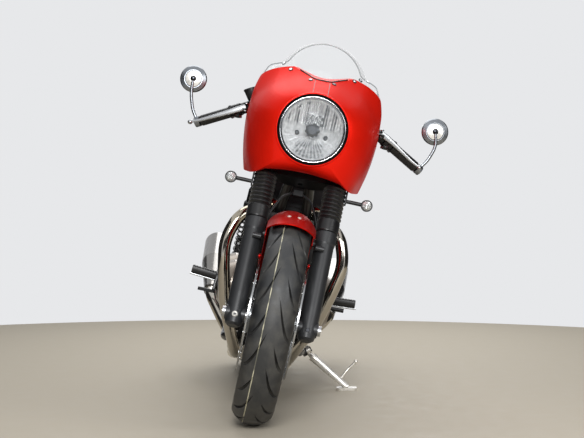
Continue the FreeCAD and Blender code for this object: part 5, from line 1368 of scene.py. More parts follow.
@dataclass
class HandControls:
    """Levers, perches, switch blocks and the fluid reservoir, in place of the CAD solid."""

    shop: Workshop
    bar_root: Triple = (106, 285, 961)
    bar_end: Triple = (347, 380, 838)
    levers: tuple[tuple[float, tuple[Triple, ...]], ...] = (
        (1, ((214, 303, 914), (236, 306, 903), (262, 311, 889), (290, 317, 872),
             (322, 324, 853), (352, 328, 838))),
        (-1, ((214, 303, 906), (246, 306, 888), (276, 310, 872), (308, 315, 856),
              (344, 322, 838), (374, 328, 826))))
    cup_foot: Triple = (-195, 332, 937)
    cup_rise: Triple = (-0.46, 0, 0.89)

    def on_bar(self, x: float, side: float) -> Points:
        """Point of the bar's centre line at x, on one side."""
        start, end = np.array(self.bar_root), np.array(self.bar_end)
        point = start + (end - start) * (x - start[0]) / (end[0] - start[0])
        return point * np.array([side, 1.0, 1.0])

    def blade(self, side: float, path: tuple[Triple, ...]) -> Surface:
        """Flat forged blade, deep at its root, with a ball at its tip."""
        line = curve(np.array(path) * np.array([side, 1.0, 1.0]), 40)
        share = np.linspace(0, 1, 40)
        tall = 1.0 - 0.58 * ramp(share, 0.22, 1) + 0.12 * np.exp(-((share - 0.12) / 0.1) ** 2)
        thick = 1.0 - 0.3 * share
        body = carried(rounded_profile(5, 8.4, 3.2, 20), line, scale=columns(thick, tall))
        angle = np.linspace(0, pi, 15)
        tip = turned(columns(7.6 * np.sin(angle), -7.6 * np.cos(angle)), 24, line[-1], (1, 0, 0))
        return together([body, tip])

    def clamp(self, side: float, first: float, last: float, radius: float) -> Surface:
        """Collar round the bar between two places, with rolled edges."""
        start, end = self.on_bar(first, side), self.on_bar(last, side)
        length = float(np.linalg.norm(end - start))
        profile = [(11.3, 0), (radius - 1.5, 0), (radius, 1.5), (radius, length - 1.5),
                   (radius - 1.5, length), (11.3, length), (11.3, 0)]
        return turned(profile, 40, start, end - start)

    def reservoir(self) -> Surface:
        """Tapered cup with a lipped lid and a sight boss."""
        profile = [(0, 0), (17, 0), (18.6, 2), (22.4, 28), (22.4, 29.5), (23.8, 30.2), (24, 34), (22.6, 36),
                   (19, 36), (18.4, 35), (0, 35)]
        return turned(profile, 56, self.cup_foot, self.cup_rise)

    def build(self) -> None:
        """Makes the controls on the steered body."""
        shop, front = self.shop, self.shop.layout.front
        blades = together([self.blade(side, path) for side, path in self.levers])
        levers = shop.piece("hand_levers", blades, front, LEVER_SILVER, "silver_alloy", crease=40.0)
        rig.replaces(levers, "hand_controls")
        blocks, pivots = [], []
        for side, path in self.levers:
            root = np.array(path[0]) * np.array([side, 1.0, 1.0])
            blocks.append(self.clamp(side, 201, 225, 17.4))
            blocks.append(self.clamp(side, 226, 238, 19.4))
            blocks.append(self.clamp(side, 239, 252.5, 19.4))
            start = (self.on_bar(204, side) + self.on_bar(222, side)) / 2
            arm = curve([start, start * 0.4 + root * 0.6 + [0, -6, -2], root], 12)
            blocks.append(carried(rounded_profile(10, 12, 3.5, 20), arm, scale=np.linspace(1.1, 0.95, 12)))
            switch = self.on_bar(236.0, side) + np.array([0.0, -2.0, -17.0])
            pod = curve([switch + [side * 11, -3, 2], switch, switch - [side * 11, 3, -2]], 6)
            blocks.append(carried(rounded_profile(12, 8.5, 4, 20), pod))
            pivots.append(root)
        start = (self.on_bar(204, -1) + self.on_bar(222, -1)) / 2
        neck = curve([start, start * 0.5 + np.array(self.cup_foot) * 0.5 + [0, 6, 2], self.cup_foot], 10)
        blocks.append(carried(rounded_profile(9, 9, 2.6, 16), neck))
        shop.piece("lever_perches", together(blocks), front, BLACK_METAL, "black_metal", crease=35.0)
        shop.piece("fluid_reservoir", self.reservoir(), front, BLACK_PLASTIC, "black_plastic")
        places = np.array(pivots * 2) + np.array([(0, -3, 9.5)] * 2 + [(0, -3, -9.5)] * 2)
        ways = np.array([(0, 0, 1)] * 2 + [(0, 0, -1)] * 2)
        shop.piece("lever_pivot_bolts", hex_bolts(places, ways, 5, 4), front, BRIGHT_CHROME, "chrome")


@dataclass
class Mirrors:
    """Silvered glass, joints, caps and seams of the bar-end mirrors."""

    shop: Workshop
    centres: tuple[Triple, ...] = ((383, 396, 962), (-397, 396, 964))
    glass_radius: float = 39.4
    recess: float = 2.5

    def build(self) -> None:
        """Makes them on the steered body."""
        rim = self.glass_radius
        glass = [(0, 0.35), (20, 0.3), (rim - 1, 0.1), (rim, -0.6)]
        joint = [(0, 11.5), (3.5, 11), (6.2, 8.5), (7, 5), (6, 1.5), (9.5, 0.6), (10, -1)]
        cap = [(9.8, 0.4), (12.2, 0.4), (24.8, -2.5), (25, -3.4)]
        seam = [(25, 3), (25.6, 3.6), (26.6, 3.4), (26.6, 1)]
        # name, profile, segments, axis, place behind the centre, finish, slot
        rows = (
            ("mirror_glasses", glass, 72, BACKWARDS, self.recess + 0.1, MIRROR_GLASS, "lens_glass"),
            ("mirror_joints", joint, 28, FORWARDS, -16, SHIELD_DARK, "chrome"),
            ("mirror_caps", cap, 48, FORWARDS, -16, POLISHED_ALLOY, "chrome"),
            ("mirror_seams", seam, 72, FORWARDS, -9.6, BEZEL_DARK, "chrome"),
        )
        for name, profile, segments, axis, behind, finish, slot in rows:
            pair = repeated(turned(profile, segments, ZERO, axis), np.array(self.centres) + [0, behind, 0])
            self.shop.piece(name, pair, self.shop.layout.front, finish, slot)


@dataclass
class Indicators:
    """Clear-fronted lamps on the ends of the stalks."""

    shop: Workshop
    front_ball: Triple = (208, 180, 684)
    rear_ball: Triple = (128, 1590, 800)

    def lens(self, way: float) -> Surface:
        """Domed lens with rings: station = 9 + 9 * (1 - (r / 15) ** 2) + ripples."""
        radius = np.linspace(0, 15.2, 26)
        station = 9.0 + 9.2 * (1 - (radius / 15.2) ** 2) + 0.35 * np.sin(radius * 2.1)
        profile = np.concatenate([columns(radius, station), [(15.4, 7)]])
        return turned(profile, 40, (0, 0, 0), (0, way, 0))

    def build(self) -> None:
        """Makes the front lenses on the steered body and the rear ones on the chassis."""
        layout = self.shop.layout
        rows = (("front", self.front_ball, -1, layout.front, INDICATOR_CLEAR),
                ("rear", self.rear_ball, 1, layout.chassis, AMBER_LENS))
        for name, ball, way, axes, finish in rows:
            places = np.array([ball, np.array(ball) * [-1, 1, 1]])
            lens = repeated(self.lens(way), places)
            self.shop.piece(name + "_indicator_lenses", lens, axes, finish, "lens_glass")
            rim = turned([(15, 10.2), (16.4, 10.2), (17.6, 8), (17.9, 4), (17.2, 1)], 40, ZERO, (0, way, 0))
            rims = repeated(rim, places)
            self.shop.piece(name + "_indicator_rims", rims, axes, BLACK_METAL, "black_metal")


@dataclass
class Instruments:
    """Dial faces with plain numbers, ticks, needles and clear covers."""

    shop: Workshop
    centres: tuple[Triple, ...] = ((50, 206, 996), (-50, 206, 996))
    facing: Triple = (0, 0.58, 0.82)
    face_station: float = 14.3
    radius: float = 37.6
    cover_radius: float = 38.8
    sweep: float = radians(250.0)

    def turn(self) -> Points:
        """Columns that put a dial drawn flat, x right and y up for the rider, on its seat."""
        facing = np.array(self.facing) / np.linalg.norm(self.facing)
        rider_right = np.array([-1.0, 0.0, 0.0])
        return columns(rider_right, np.cross(facing, rider_right), facing)

    def numerals(self, values: tuple[int, ...]) -> Surface:
        """Plain digits round the dial, from text turned into mesh."""
        parts = []
        for index, value in enumerate(values):
            angle = pi / 2 + self.sweep / 2 - self.sweep * index / (len(values) - 1)
            text = bpy.data.curves.new("digit", "FONT")
            text.body = str(value)
            text.size = 7.0
            text.align_x, text.align_y = "CENTER", "CENTER"
            holder = bpy.data.objects.new("digit", text)
            mesh = bpy.data.meshes.new_from_object(holder)
            points = np.empty(len(mesh.vertices) * 3)
            mesh.vertices.foreach_get("co", points)
            mesh.calc_loop_triangles()
            corners = np.empty(len(mesh.loop_triangles) * 3, dtype=np.int64)
            mesh.loop_triangles.foreach_get("vertices", corners)
            corners = corners.reshape(-1, 3)
            quads = np.concatenate([corners, corners[:, 2:]], axis=1)
            place = np.array([cos(angle), sin(angle), 0.0]) * (self.radius - 12.5) + [0, 0, 0.35]
            parts.append(Surface(points.reshape(-1, 3) + place, quads))
            bpy.data.objects.remove(holder)
        return together(parts)

    def ticks(self, count: int) -> Surface:
        """Short marks round the dial's edge."""
        path = [(0, self.radius - 6.5, 0.3), (0, self.radius - 2.5, 0.3)]
        mark = carried(rounded_profile(0.45, 0.2, 4, 8), path)
        angle = self.sweep / 2 - self.sweep * np.linspace(0, 1, count)
        cosine, sine = np.cos(angle), np.sin(angle)
        turns = columns(columns(cosine, sine, 0), columns(-sine, cosine, 0), columns(0, 0, 1))
        return repeated(mark, np.zeros((count, 3)), turns)

    def build(self) -> None:
        """Makes both dials on the steered body."""
        shop, front = self.shop, self.shop.layout.front
        turn = self.turn()
        facing = turn[:, 2]
        faces, marks, needles, covers = [], [], [], []
        dials = (((0, 20, 40, 60, 80, 100, 120, 140), 36), ((0, 1, 2, 3, 4, 5, 6, 7, 8, 9), 46))
        for centre, (values, count) in zip(self.centres, dials):
            origin = np.array(centre) + facing * self.face_station
            faces.append(turned([(0, 0), (self.radius, 0), (self.radius, -1)], 64, origin, self.facing))
            marks += [self.numerals(values).moved(origin, turn), self.ticks(count).moved(origin, turn)]
            lean = -self.sweep / 2 + pi / 2
            tip = np.array([cos(lean + pi), -sin(lean + pi), 0.0])
            path = [(0, -6, 1.6)]
            path += [(-tip[0] * far, tip[1] * far, 1.6) for far in (0.6 * 20, 27)]
            needle = carried(rounded_profile(1, 0.5, 3, 10), path, scale=(1.4, 1, 0.5))
            hub = turned([(0, 3.2), (3.6, 2.8), (4.2, 0.4)], 24)
            needles.append(together([needle, hub]).moved(origin, turn))
            radius = np.linspace(0, self.cover_radius, 12)
            dome = columns(radius, 3.4 + 0.9 * (1 - (radius / self.cover_radius) ** 2))
            covers.append(turned(dome, 56, origin, self.facing))
        shop.piece("dial_faces", together(faces), front, DIAL_BLACK, "black_plastic")
        shop.piece("dial_marks", together(marks), front, DIAL_WHITE, "black_plastic")
        shop.piece("dial_needles", together(needles), front, NEEDLE_RED, "black_plastic")
        shop.piece("dial_covers", together(covers), front, LAMP_GLASS, "lens_glass")


# ---------------------------------------------------------------- engine, radiator and running gear trim
@dataclass
class Radiator:
    """Tubes and folded fins in front of the cooler's core."""

    shop: Workshop
    half_width: float = 73.6
    low: float = 354.0
    high: float = 604.0
    tube_pitch: float = 9.0
    fin_pitch: float = 3.0
    face: float = 343.4

    def build(self) -> None:
        """Makes flat tubes and, between them, fins: z = middle + 3.3 * triangle wave of x."""
        rows = int((self.high - self.low) / self.tube_pitch)
        middles = self.low + (np.arange(rows) + 0.5) * self.tube_pitch
        tube = carried(rounded_profile(0.9, 1.1, 3, 10), [(-self.half_width, 0, 0), (self.half_width, 0, 0)])
        places = columns(0, self.face + 0.9, middles - self.tube_pitch / 2)
        shop, chassis = self.shop, self.shop.layout.chassis
        shop.piece("radiator_tubes", repeated(tube, places), chassis, RADIATOR_BLACK, "black_metal")
        count = int(2 * self.half_width / self.fin_pitch)
        x = np.linspace(-self.half_width, self.half_width, 2 * count + 1)
        wave = 3.3 * np.where(np.arange(len(x)) % 2 == 0, -1, 1)
        depth = np.array([self.face + 0.5, 346.4])
        fins = repeated(grid(columns(x, depth[:, None], wave)), columns(0, 0, middles))
        shop.piece("radiator_fins", fins, chassis, RADIATOR_FIN, "black_metal", crease=20.0)


@dataclass
class EngineTrim:
    """Flanges with bolt bosses round the covers, and bolts on covers, head and ports."""

    shop: Workshop
    face: float = 108.4
    # side, y, z, radius, bosses, first angle in degrees
    covers: tuple[tuple[float, float, float, float, int, float], ...] = (
        (1, 560, 350, 92, 9, 12), (1, 700, 380, 72, 7, 30),
        (-1, 560, 345, 84, 9, 0), (-1, 672, 352, 96, 10, 18))
    head_top: float = 709.3
    port_x: float = 76.0
    port_z: float = 625.0
    port_bolts: float = 33.0

    def flange(self, radius: float, bosses: int, first: float) -> Surface:
        """Flat ring: outer radius = radius + 4 + 6 * exp(-(distance to a boss / 6.5) ** 2)."""
        angle = np.linspace(0, 2 * pi, 180, endpoint=False)
        step = 2 * pi / bosses
        away = np.abs((angle - first + step / 2) % step - step / 2) * radius
        outer = radius + 4.0 + 6.0 * np.exp(-(away / 6.5) ** 2)
        rings = np.stack([0 * angle + radius - 3, 0 * angle + radius - 3, outer - 1.2, outer, outer], axis=0)
        station = np.array([0.0, 10.0, 10.0, 8.8, 0.0])[:, None]
        points = columns(rings * np.cos(angle), rings * np.sin(angle), station)
        return grid(points, wrap_columns=True)

    def build(self) -> None:
        """Makes the trim on the chassis."""
        shop, chassis = self.shop, self.shop.layout.chassis
        flanges, places, ways = [], [], []
        for side, y, z, radius, bosses, first in self.covers:
            origin, way = np.array([side * self.face, y, z]), np.array([side, 0.0, 0.0])
            turn = toward(way)
            flanges.append(self.flange(radius, bosses, radians(first)).moved(origin, turn))
            angle = radians(first) + 2 * pi * np.arange(bosses) / bosses
            ring = columns((radius + 4.6) * np.cos(angle), (radius + 4.6) * np.sin(angle), 9.8)
            places.append(ring @ turn.T + origin)
            ways.append(np.tile(way, (bosses, 1)))
        shop.piece("cover_flanges", together(flanges), chassis, COVER_SILVER, "engine_silver")
        bolts = hex_bolts(np.concatenate(places), np.concatenate(ways), 3.9, 5)
        shop.piece("cover_bolts", bolts, chassis, ZINC_BOLT, "chrome", crease=25.0)
        x, y = np.meshgrid([-86, -30, 30, 86.0], [520.0, 612.0])
        tops = columns(x.ravel(), y.ravel(), self.head_top)
        caps = hex_bolts(tops, np.tile([0.0, 0, 1.0], (len(tops), 1)), 6, 6)
        ports, outward = [], []
        for side in (-1, 1):
            for angle in (radians(35), radians(215)):
                ports.append([side * self.port_x + self.port_bolts * cos(angle), 466,
                              self.port_z + self.port_bolts * sin(angle)])
                outward.append([0.0, -1, 0.0])
        nuts = hex_bolts(np.array(ports), np.array(outward), 5.2, 9.0)
        shop.piece("head_bolts", together([caps, nuts]), chassis, ZINC_BOLT, "chrome", crease=25.0)
        ring = turned([(24, 0), (40, 0), (40, 7), (24, 8)], 6, ZERO, FORWARDS)
        clamps = repeated(ring, [(side * self.port_x, 459.5, self.port_z) for side in (-1, 1)])
        shop.piece("port_clamps", clamps, chassis, BLACK_METAL, "black_metal", crease=25.0)
        leads = []
        for side in (-1, 1):
            path = [(side * 40, 566, 700), (side * 40, 562, 728), (side * 30, 590, 752),
                    (side * 18, 640, 768)]
            leads.append(carried(ring_profile(3.5, 12), curve(path, 26)))
            leads.append(turned([(0, 46), (8, 44), (9.5, 30), (9.5, 8), (12.5, 6), (12.5, 0), (0, 0)], 28,
                                (side * 40, 566, 705), (0, -0.05, 1)))
        shop.piece("plug_leads", together(leads), chassis, BLACK_RUBBER, "black_rubber")


@dataclass
class Shocks:
    """Dampers with wound springs, in place of the plain CAD coils."""

    shop: Workshop
    low: Triple = (152, WHEELBASE - 77, 372)
    high: Triple = (142, WHEELBASE - 200, 700)
    turns: float = 9.5

    def build(self) -> None:
        """Spring: radius 22, station = first + length * share, angle = 2 pi * turns * share."""
        shop, chassis = self.shop, self.shop.layout.chassis
        low, high = np.array(self.low), np.array(self.high)
        length = float(np.linalg.norm(high - low))
        turn = toward(high - low, (1, 0, 0))
        body = [(0, 8), (9, 8), (9, 30), (23, 31.5), (25, 33), (25, 37), (23, 39), (17.5, 40), (17.5, 120),
                (15, 123), (6.2, 124)]
        upper = ((6.2, 110), (16, 108), (19, 104), (25, 101), (25, 84), (23, 81), (19, 78), (19, 32),
                 (12, 12), (0, 8))
        body += [(radius, length - below) for radius, below in upper]
        damper = turned(body, 40)
        eye = turned([(4.5, -9.2), (12, -9.2), (13, -8.2), (13, 8.2), (12, 9.2), (4.5, 9.2), (4.5, -9.2)],
                     32, ZERO, LEFTWARDS)
        share = np.linspace(0, 1, 300)
        angle = 2 * pi * self.turns * share
        station = 43.0 + (length - 101.0 - 46.5) * (share + 0.02 * np.sin(2 * pi * share))
        path = columns(21.4 * np.cos(angle), 21.4 * np.sin(angle), station)
        coil = carried(ring_profile(3.9, 10), path)
        ends = together([eye.moved(low), eye.moved(high)])
        left = (damper.moved(low, turn), coil.moved(low, turn), ends)
        dampers, springs, eyes = [together([part, part.mirrored()]) for part in left]
        made = shop.piece("shock_dampers", dampers, chassis, BLACK_METAL, "black_metal")
        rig.replaces(made, "rear_shocks")
        shop.piece("shock_springs", springs, chassis, SPRING_BLACK, "black_metal", crease=60.0)
        shop.piece("shock_eyes", eyes, chassis, BLACK_RUBBER, "black_rubber")


@dataclass
class WheelTrim:
    """Nipples at the rim ends of the spokes and bolts on the discs' centres."""

    shop: Workshop
    spokes_per_side: int = 16
    cross: float = radians(48.0)
    rim_end: float = 202.0
    disc_screws: int = 6

    def nipples(self, flange_x: float, flange_radius: float, rim_x: float) -> Surface:
        """Small tubes at the rim end of each spoke, along it."""
        places, ways = [], []
        for side in (-1, 1):
            index = np.arange(self.spokes_per_side)
            lean = np.where(index % 2 == 1, 1, -1)
            rim_angle = 2 * pi * (index + (0.5 if side > 0 else 0)) / self.spokes_per_side
            hub_angle = rim_angle + lean * self.cross
            hub = columns(side * (flange_x + lean * 5), flange_radius * np.sin(hub_angle),
                          flange_radius * np.cos(hub_angle))
            end = columns(side * rim_x, self.rim_end * np.sin(rim_angle),
                          self.rim_end * np.cos(rim_angle))
            way = (hub - end) / np.linalg.norm(hub - end, axis=1, keepdims=True)
            places.append(end)
            ways.append(way)
        nipple = turned([(0, -2), (3.4, -2), (3.4, 3), (2.9, 4), (2.9, 12), (1.8, 13), (1.8, 14)], 10)
        return repeated(nipple, np.concatenate(places), towards(np.concatenate(ways)))

    def heads(self, x: float, radius: float) -> Surface:
        """Button screws in a ring on one face of a hub; x carries the side."""
        count = self.disc_screws
        angle = 2 * pi * np.arange(count) / count
        places = columns(x, radius * np.sin(angle), radius * np.cos(angle))
        return socket_screws(places, np.tile([np.sign(x), 0, 0.0], (count, 1)), 5.4, 3.6)

    def build(self) -> None:
        """Makes the trim on both wheels."""
        shop, layout = self.shop, self.shop.layout
        # name, axes, hub, spoke's flange x, flange radius and rim x, screwed faces' x, their circle
        front, rear = layout.front.on("front_wheel_body"), layout.chassis.on("rear_wheel_body")
        rows = (("front", front, FRONT_HUB, (34.5, 40, 12), (71.7, -71.7), 37),
                ("rear", rear, REAR_HUB, (48, 50, 16), (-94.5,), 38))
        for name, axes, hub, spoke, faces, circle in rows:
            nipples = self.nipples(*spoke).moved(hub)
            shop.piece(name + "_spoke_nipples", nipples, axes, ZINC_BOLT, "wheel_metal")
            heads = together([self.heads(x, circle) for x in faces]).moved(hub)
            shop.piece(name + "_disc_screws", heads, axes, DARK_BOLT, "black_metal")


@dataclass
class ForkTrim:
    """Clamp bolts, caliper bolts, axle pinch bolts and the guard's fasteners, whose pale finish is painted highlight.
    """

    shop: Workshop

    def build(self) -> None:
        """Makes the trim on the steered body."""
        shop, fork, front = self.shop, self.shop.layout.fork, self.shop.layout.front
        rows = []
        for side in (-1, 1):
            rows += [
                ((side * 116, -28.9, 470), (side * 0.3, -1, 0), 5),
                ((side * 116, -28, 679), (side * 0.3, -1, 0), 4.6),
                ((side * 104.6, 40, 88), (side, 0, 0), 6),
                ((side * 104.6, 40, 132), (side, 0, 0), 6),
            ]
        bolts = together([hex_bolts(np.array([place]), [way], radius, 6.0) for place, way, radius in rows])
        shop.piece("fork_clamp_bolts", bolts, fork, ZINC_BOLT, "chrome", crease=25.0)
        ring = turned([(0, 4), (3, 4), (3.4, 7.4), (6, 8.2), (8.6, 7), (9.4, 4), (9.4, 0)], 30,
                      (-LEG_X, -21.5, -10), (0, -1, 0))
        shop.piece("axle_pinch_ring", ring, fork, POLISHED_ALLOY, "silver_alloy")
        pinch = hex_bolts(np.array([(LEG_X, -23.0, -12.0)]), np.array([(0, -1, 0)]), 7.0, 6.0)
        shop.piece("axle_pinch_bolt", pinch, fork, DARK_BOLT, "black_metal", crease=25.0)
        boss = turned([(0, 0), (6.6, 0), (8.3, 1.6), (8.3, 26), (0, 26)], 32, ZERO, LEFTWARDS)
        bosses = boss.moved((80, -33, 236))
        shop.piece("guard_bosses", together([bosses, bosses.mirrored()]), fork, FORK_GREY, "fork_metal")
        # painted highlights: the guard's two screws are pale alloy, set where the guard shows highlights
        starts = np.array([(x, -420.0, z) for x, z in ((-14, 604), (15, 605))])
        places, normals = shop.hits(("front_mudguard",), starts, front, BACKWARDS)
        caps = socket_screws(places - normals * 0.4, normals, 5.6, 2.4)
        shop.piece("guard_screws", caps, front, POLISHED_ALLOY, "silver_alloy")


@dataclass
class FootTrim:
    """Ribbed rubbers and alloy plates of the pegs, and the forged blade of the side stand."""

    shop: Workshop
    peg_root: Triple = (203, 800, 350.2)
    peg_tip: Triple = (288, 800, 356.4)
    ribs: int = 9
    pivot: Triple = (161, 775, 168)
    blade_root: float = 0.16

    def peg(self) -> tuple[Surface, Surface]:
        """Rubber: half height = 12.6 + 2.6 * |sin(pi * ribs * share)|; plate: a flat bar below it."""
        share = np.linspace(0, 1, 12 * self.ribs)
        path = np.array(self.peg_root) + share[:, None] * (np.array(self.peg_tip) - np.array(self.peg_root))
        tall = 12.6 + 2.6 * np.abs(np.sin(pi * self.ribs * share))
        size = columns(15, tall)
        rubber = carried(rounded_profile(1, 1, 4.5, 20), path, scale=size)
        drops = np.array([(-4, 0, -16), (0, 0, -16.5), (0, 0, -16.5), (5, 0, -15)])
        ends = path[[0, 0, -1, -1]] + drops
        plate = carried(rounded_profile(14, 3.2, 4, 20), ends)
        return rubber, plate

    def blade(self) -> Surface:
        """Flat bar round the stand's leg, from pivot to foot: half width 15 falling to 9."""
        chassis = self.shop.layout.chassis
        points = read_points(bpy.data.objects["side_stand"].data)
        sole = chassis.local(points[points[:, 2] < 0.001].mean(axis=0)[None])[0]
        foot = sole + np.array([-3.0, 0.0, 9.0])
        pivot = np.array(self.pivot)
        share = np.linspace(self.blade_root, 1, 24)
        path = pivot + share[:, None] * (foot - pivot) - (1 - share)[:, None] * np.array([6.0, 0.0, 4.0])
        size = columns(15.5 - 6.5 * share, 11.4 - 1.6 * share)
        return carried(rounded_profile(1, 1, 3, 24), path, up=BACKWARDS, scale=size)

    def build(self) -> None:
        """Makes the pegs' trim on the chassis and the blade on the stand."""
        shop, chassis = self.shop, self.shop.layout.chassis
        rubber, plate = self.peg()
        shop.piece("peg_rubbers", together([rubber, rubber.mirrored()]), chassis, BLACK_RUBBER,
                   "black_rubber")
        shop.piece("peg_plates", together([plate, plate.mirrored()]), chassis, LEVER_SILVER,
                   "silver_alloy")
        shop.piece("stand_blade", self.blade(), chassis.on("stand"), POLISHED_ALLOY, "silver_alloy")


@dataclass
class TailTrim:
    """Red lens, its bezel, and the seams and screws of the tail and side panels."""

    shop: Workshop
    lens_half: Pair = (40, 15)
    lens_middle: Triple = (0, 1590, 847)
    panel_screws: tuple[Pair, ...] = ((820, 722), (952, 716), (866, 632))

    def build(self) -> None:
        """Lens: a superellipse dome, y = 5 (1 - s ** 3) + 0.28 cos 1.1x cos 1.1z (1 - s ** 8)."""
        shop, chassis = self.shop, self.shop.layout.chassis
        share = np.linspace(0, 1, 22)[:, None]
        rim = rounded_profile(self.lens_half[0], self.lens_half[1], 4, 120)
        x, z = share * rim[:, 0], share * rim[:, 1]
        y = 5.0 * (1 - share ** 3) + 0.28 * np.cos(x * 1.1) * np.cos(z * 1.1) * (1 - share ** 8)
        dome = grid(columns(x, y, z), wrap_columns=True).moved(self.lens_middle)
        shop.piece("tail_lens", dome, chassis, RED_LENS, "amber_red_lens")
        frame = rounded_profile(self.lens_half[0] + 1.4, self.lens_half[1] + 1.4, 4, 120)
        path = columns(frame[:, 0], 0.5, frame[:, 1]) + self.lens_middle
        bezel = carried(ring_profile(1.6, 8), path, up=BACKWARDS, closed=True)
        shop.piece("tail_lens_bezel", bezel, chassis, BLACK_PLASTIC, "black_plastic")
        screws = []
        for side in (-1, 1):
            starts = np.array([(side * 400.0, y, z) for y, z in self.panel_screws])
            places, normals = shop.hits(("side_panels",), starts, chassis, (-side, 0, 0))
            screws.append(socket_screws(places - normals * 0.3, normals, 6, 2.6))
        shop.piece("panel_screws", together(screws), chassis, ZINC_BOLT, "chrome")


@dataclass
class Saddle:
    """Padded saddle: the CAD form swelled by cloth under pressure, with sewn channels."""

    shop: Workshop
    voxel: float = 0.006
    pressure: float = 4.0
    most_travel: float = 7.0
    frames: int = 20
    channel_pitch: float = 26.0
    channel_depth: float = 2.6

    def cloth(self, pad: bpy.types.Object) -> None:
        """Remeshes the pad, lets it swell for some frames and caps each point's travel."""
        remesh = pad.modifiers.new("remesh", "REMESH")
        remesh.mode = "VOXEL"
        remesh.voxel_size = self.voxel
        bake(pad)
        before = read_points(pad.data)
        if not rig.quick():
            cloth = pad.modifiers.new("swell", "CLOTH")
            cloth.settings.use_pressure = True
            cloth.settings.uniform_pressure_force = self.pressure
            cloth.settings.effector_weights.gravity = 0.0
            cloth.settings.tension_stiffness = 18.0
            cloth.settings.mass = 0.4
            scene = bpy.context.scene
            for step in range(1, self.frames + 1):
                scene.frame_set(step)
            bake(pad)
            scene.frame_set(1)
        moved = read_points(pad.data) - before
        distance = np.linalg.norm(moved, axis=1, keepdims=True)
        moved *= np.minimum(1, self.most_travel * MM / np.maximum(distance, 1e-9))
        write_points(pad.data, before + moved)

    def build(self) -> None:
        """Makes the saddle on the chassis."""
        shop, chassis = self.shop, self.shop.layout.chassis
        source = shop.frame["nodes"]["seat"]
        mesh = source.data.copy()
        mesh.materials.clear()
        pad = bpy.data.objects.new("saddle_pad", mesh)
        bpy.context.scene.collection.objects.link(pad)
        merge(mesh)
        points = chassis.local(read_points(mesh))
        middle = points.mean(axis=0)
        points = middle + (points - middle) * np.array([0.985, 0.985, 1.0]) - np.array([0.0, 0.0, 1.5])
        write_points(mesh, chassis.place(points))
        self.cloth(pad)
        smooth = pad.modifiers.new("smooth", "SUBSURF")
        smooth.levels = smooth.render_levels = 1
        bake(pad)
        points = chassis.local(read_points(pad.data))
        top = ramp(points[:, 2], 806, 811)
        across = np.abs(points[:, 0])
        inside = (ramp(96.0 - across, 0, 10) * ramp(points[:, 1], 850, 866)
                  * ramp(1160.0 - points[:, 1], 0, 14))
        phase = (points[:, 1] + self.channel_pitch / 2) % self.channel_pitch - self.channel_pitch / 2
        groove = np.exp(-(phase / 2.6) ** 2)
        points[:, 2] -= self.channel_depth * groove * inside * top
        write_points(pad.data, chassis.place(points))
        pad.data.shade_smooth()
        pad.data.materials.append(SEAT_VINYL.material())
        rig.ride(pad, "chassis")
        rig.slot(pad, "seat_cover")
        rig.replaces(pad, "seat")
        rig.padded(pad, fill=0.6)
        LOG.info("saddle_pad: %d faces on chassis", len(pad.data.polygons))
        self.piping()

    def piping(self) -> None:
        """Welt along the saddle's edge, found by lines from the side."""
        shop, chassis = self.shop, self.shop.layout.chassis
        along = np.linspace(826, 1174, 40)
        welts = []
        for side in (-1, 1):
            starts = columns(side * 300, along, 799)
            places, _ = shop.hits(("saddle_pad",), starts, chassis, (-side, 0, 0))
            welts.append(carried(ring_profile(2.2, 10), places))
        shop.piece("saddle_piping", together(welts), chassis, BLACK_RUBBER, "seat_cover")


# ---------------------------------------------------------------- studio
# Black felt card.
CARD_GREY = Finish("felt_card", "#1a1a1b", 0.9, pitch_mm=40.0, relief_mm=0.0)
# Pale warm floor, smooth.
PALE_FLOOR = Finish("pale_floor", "#bfb6a5", 0.75, pitch_mm=60.0, relief_mm=0.0, tone=0.05)


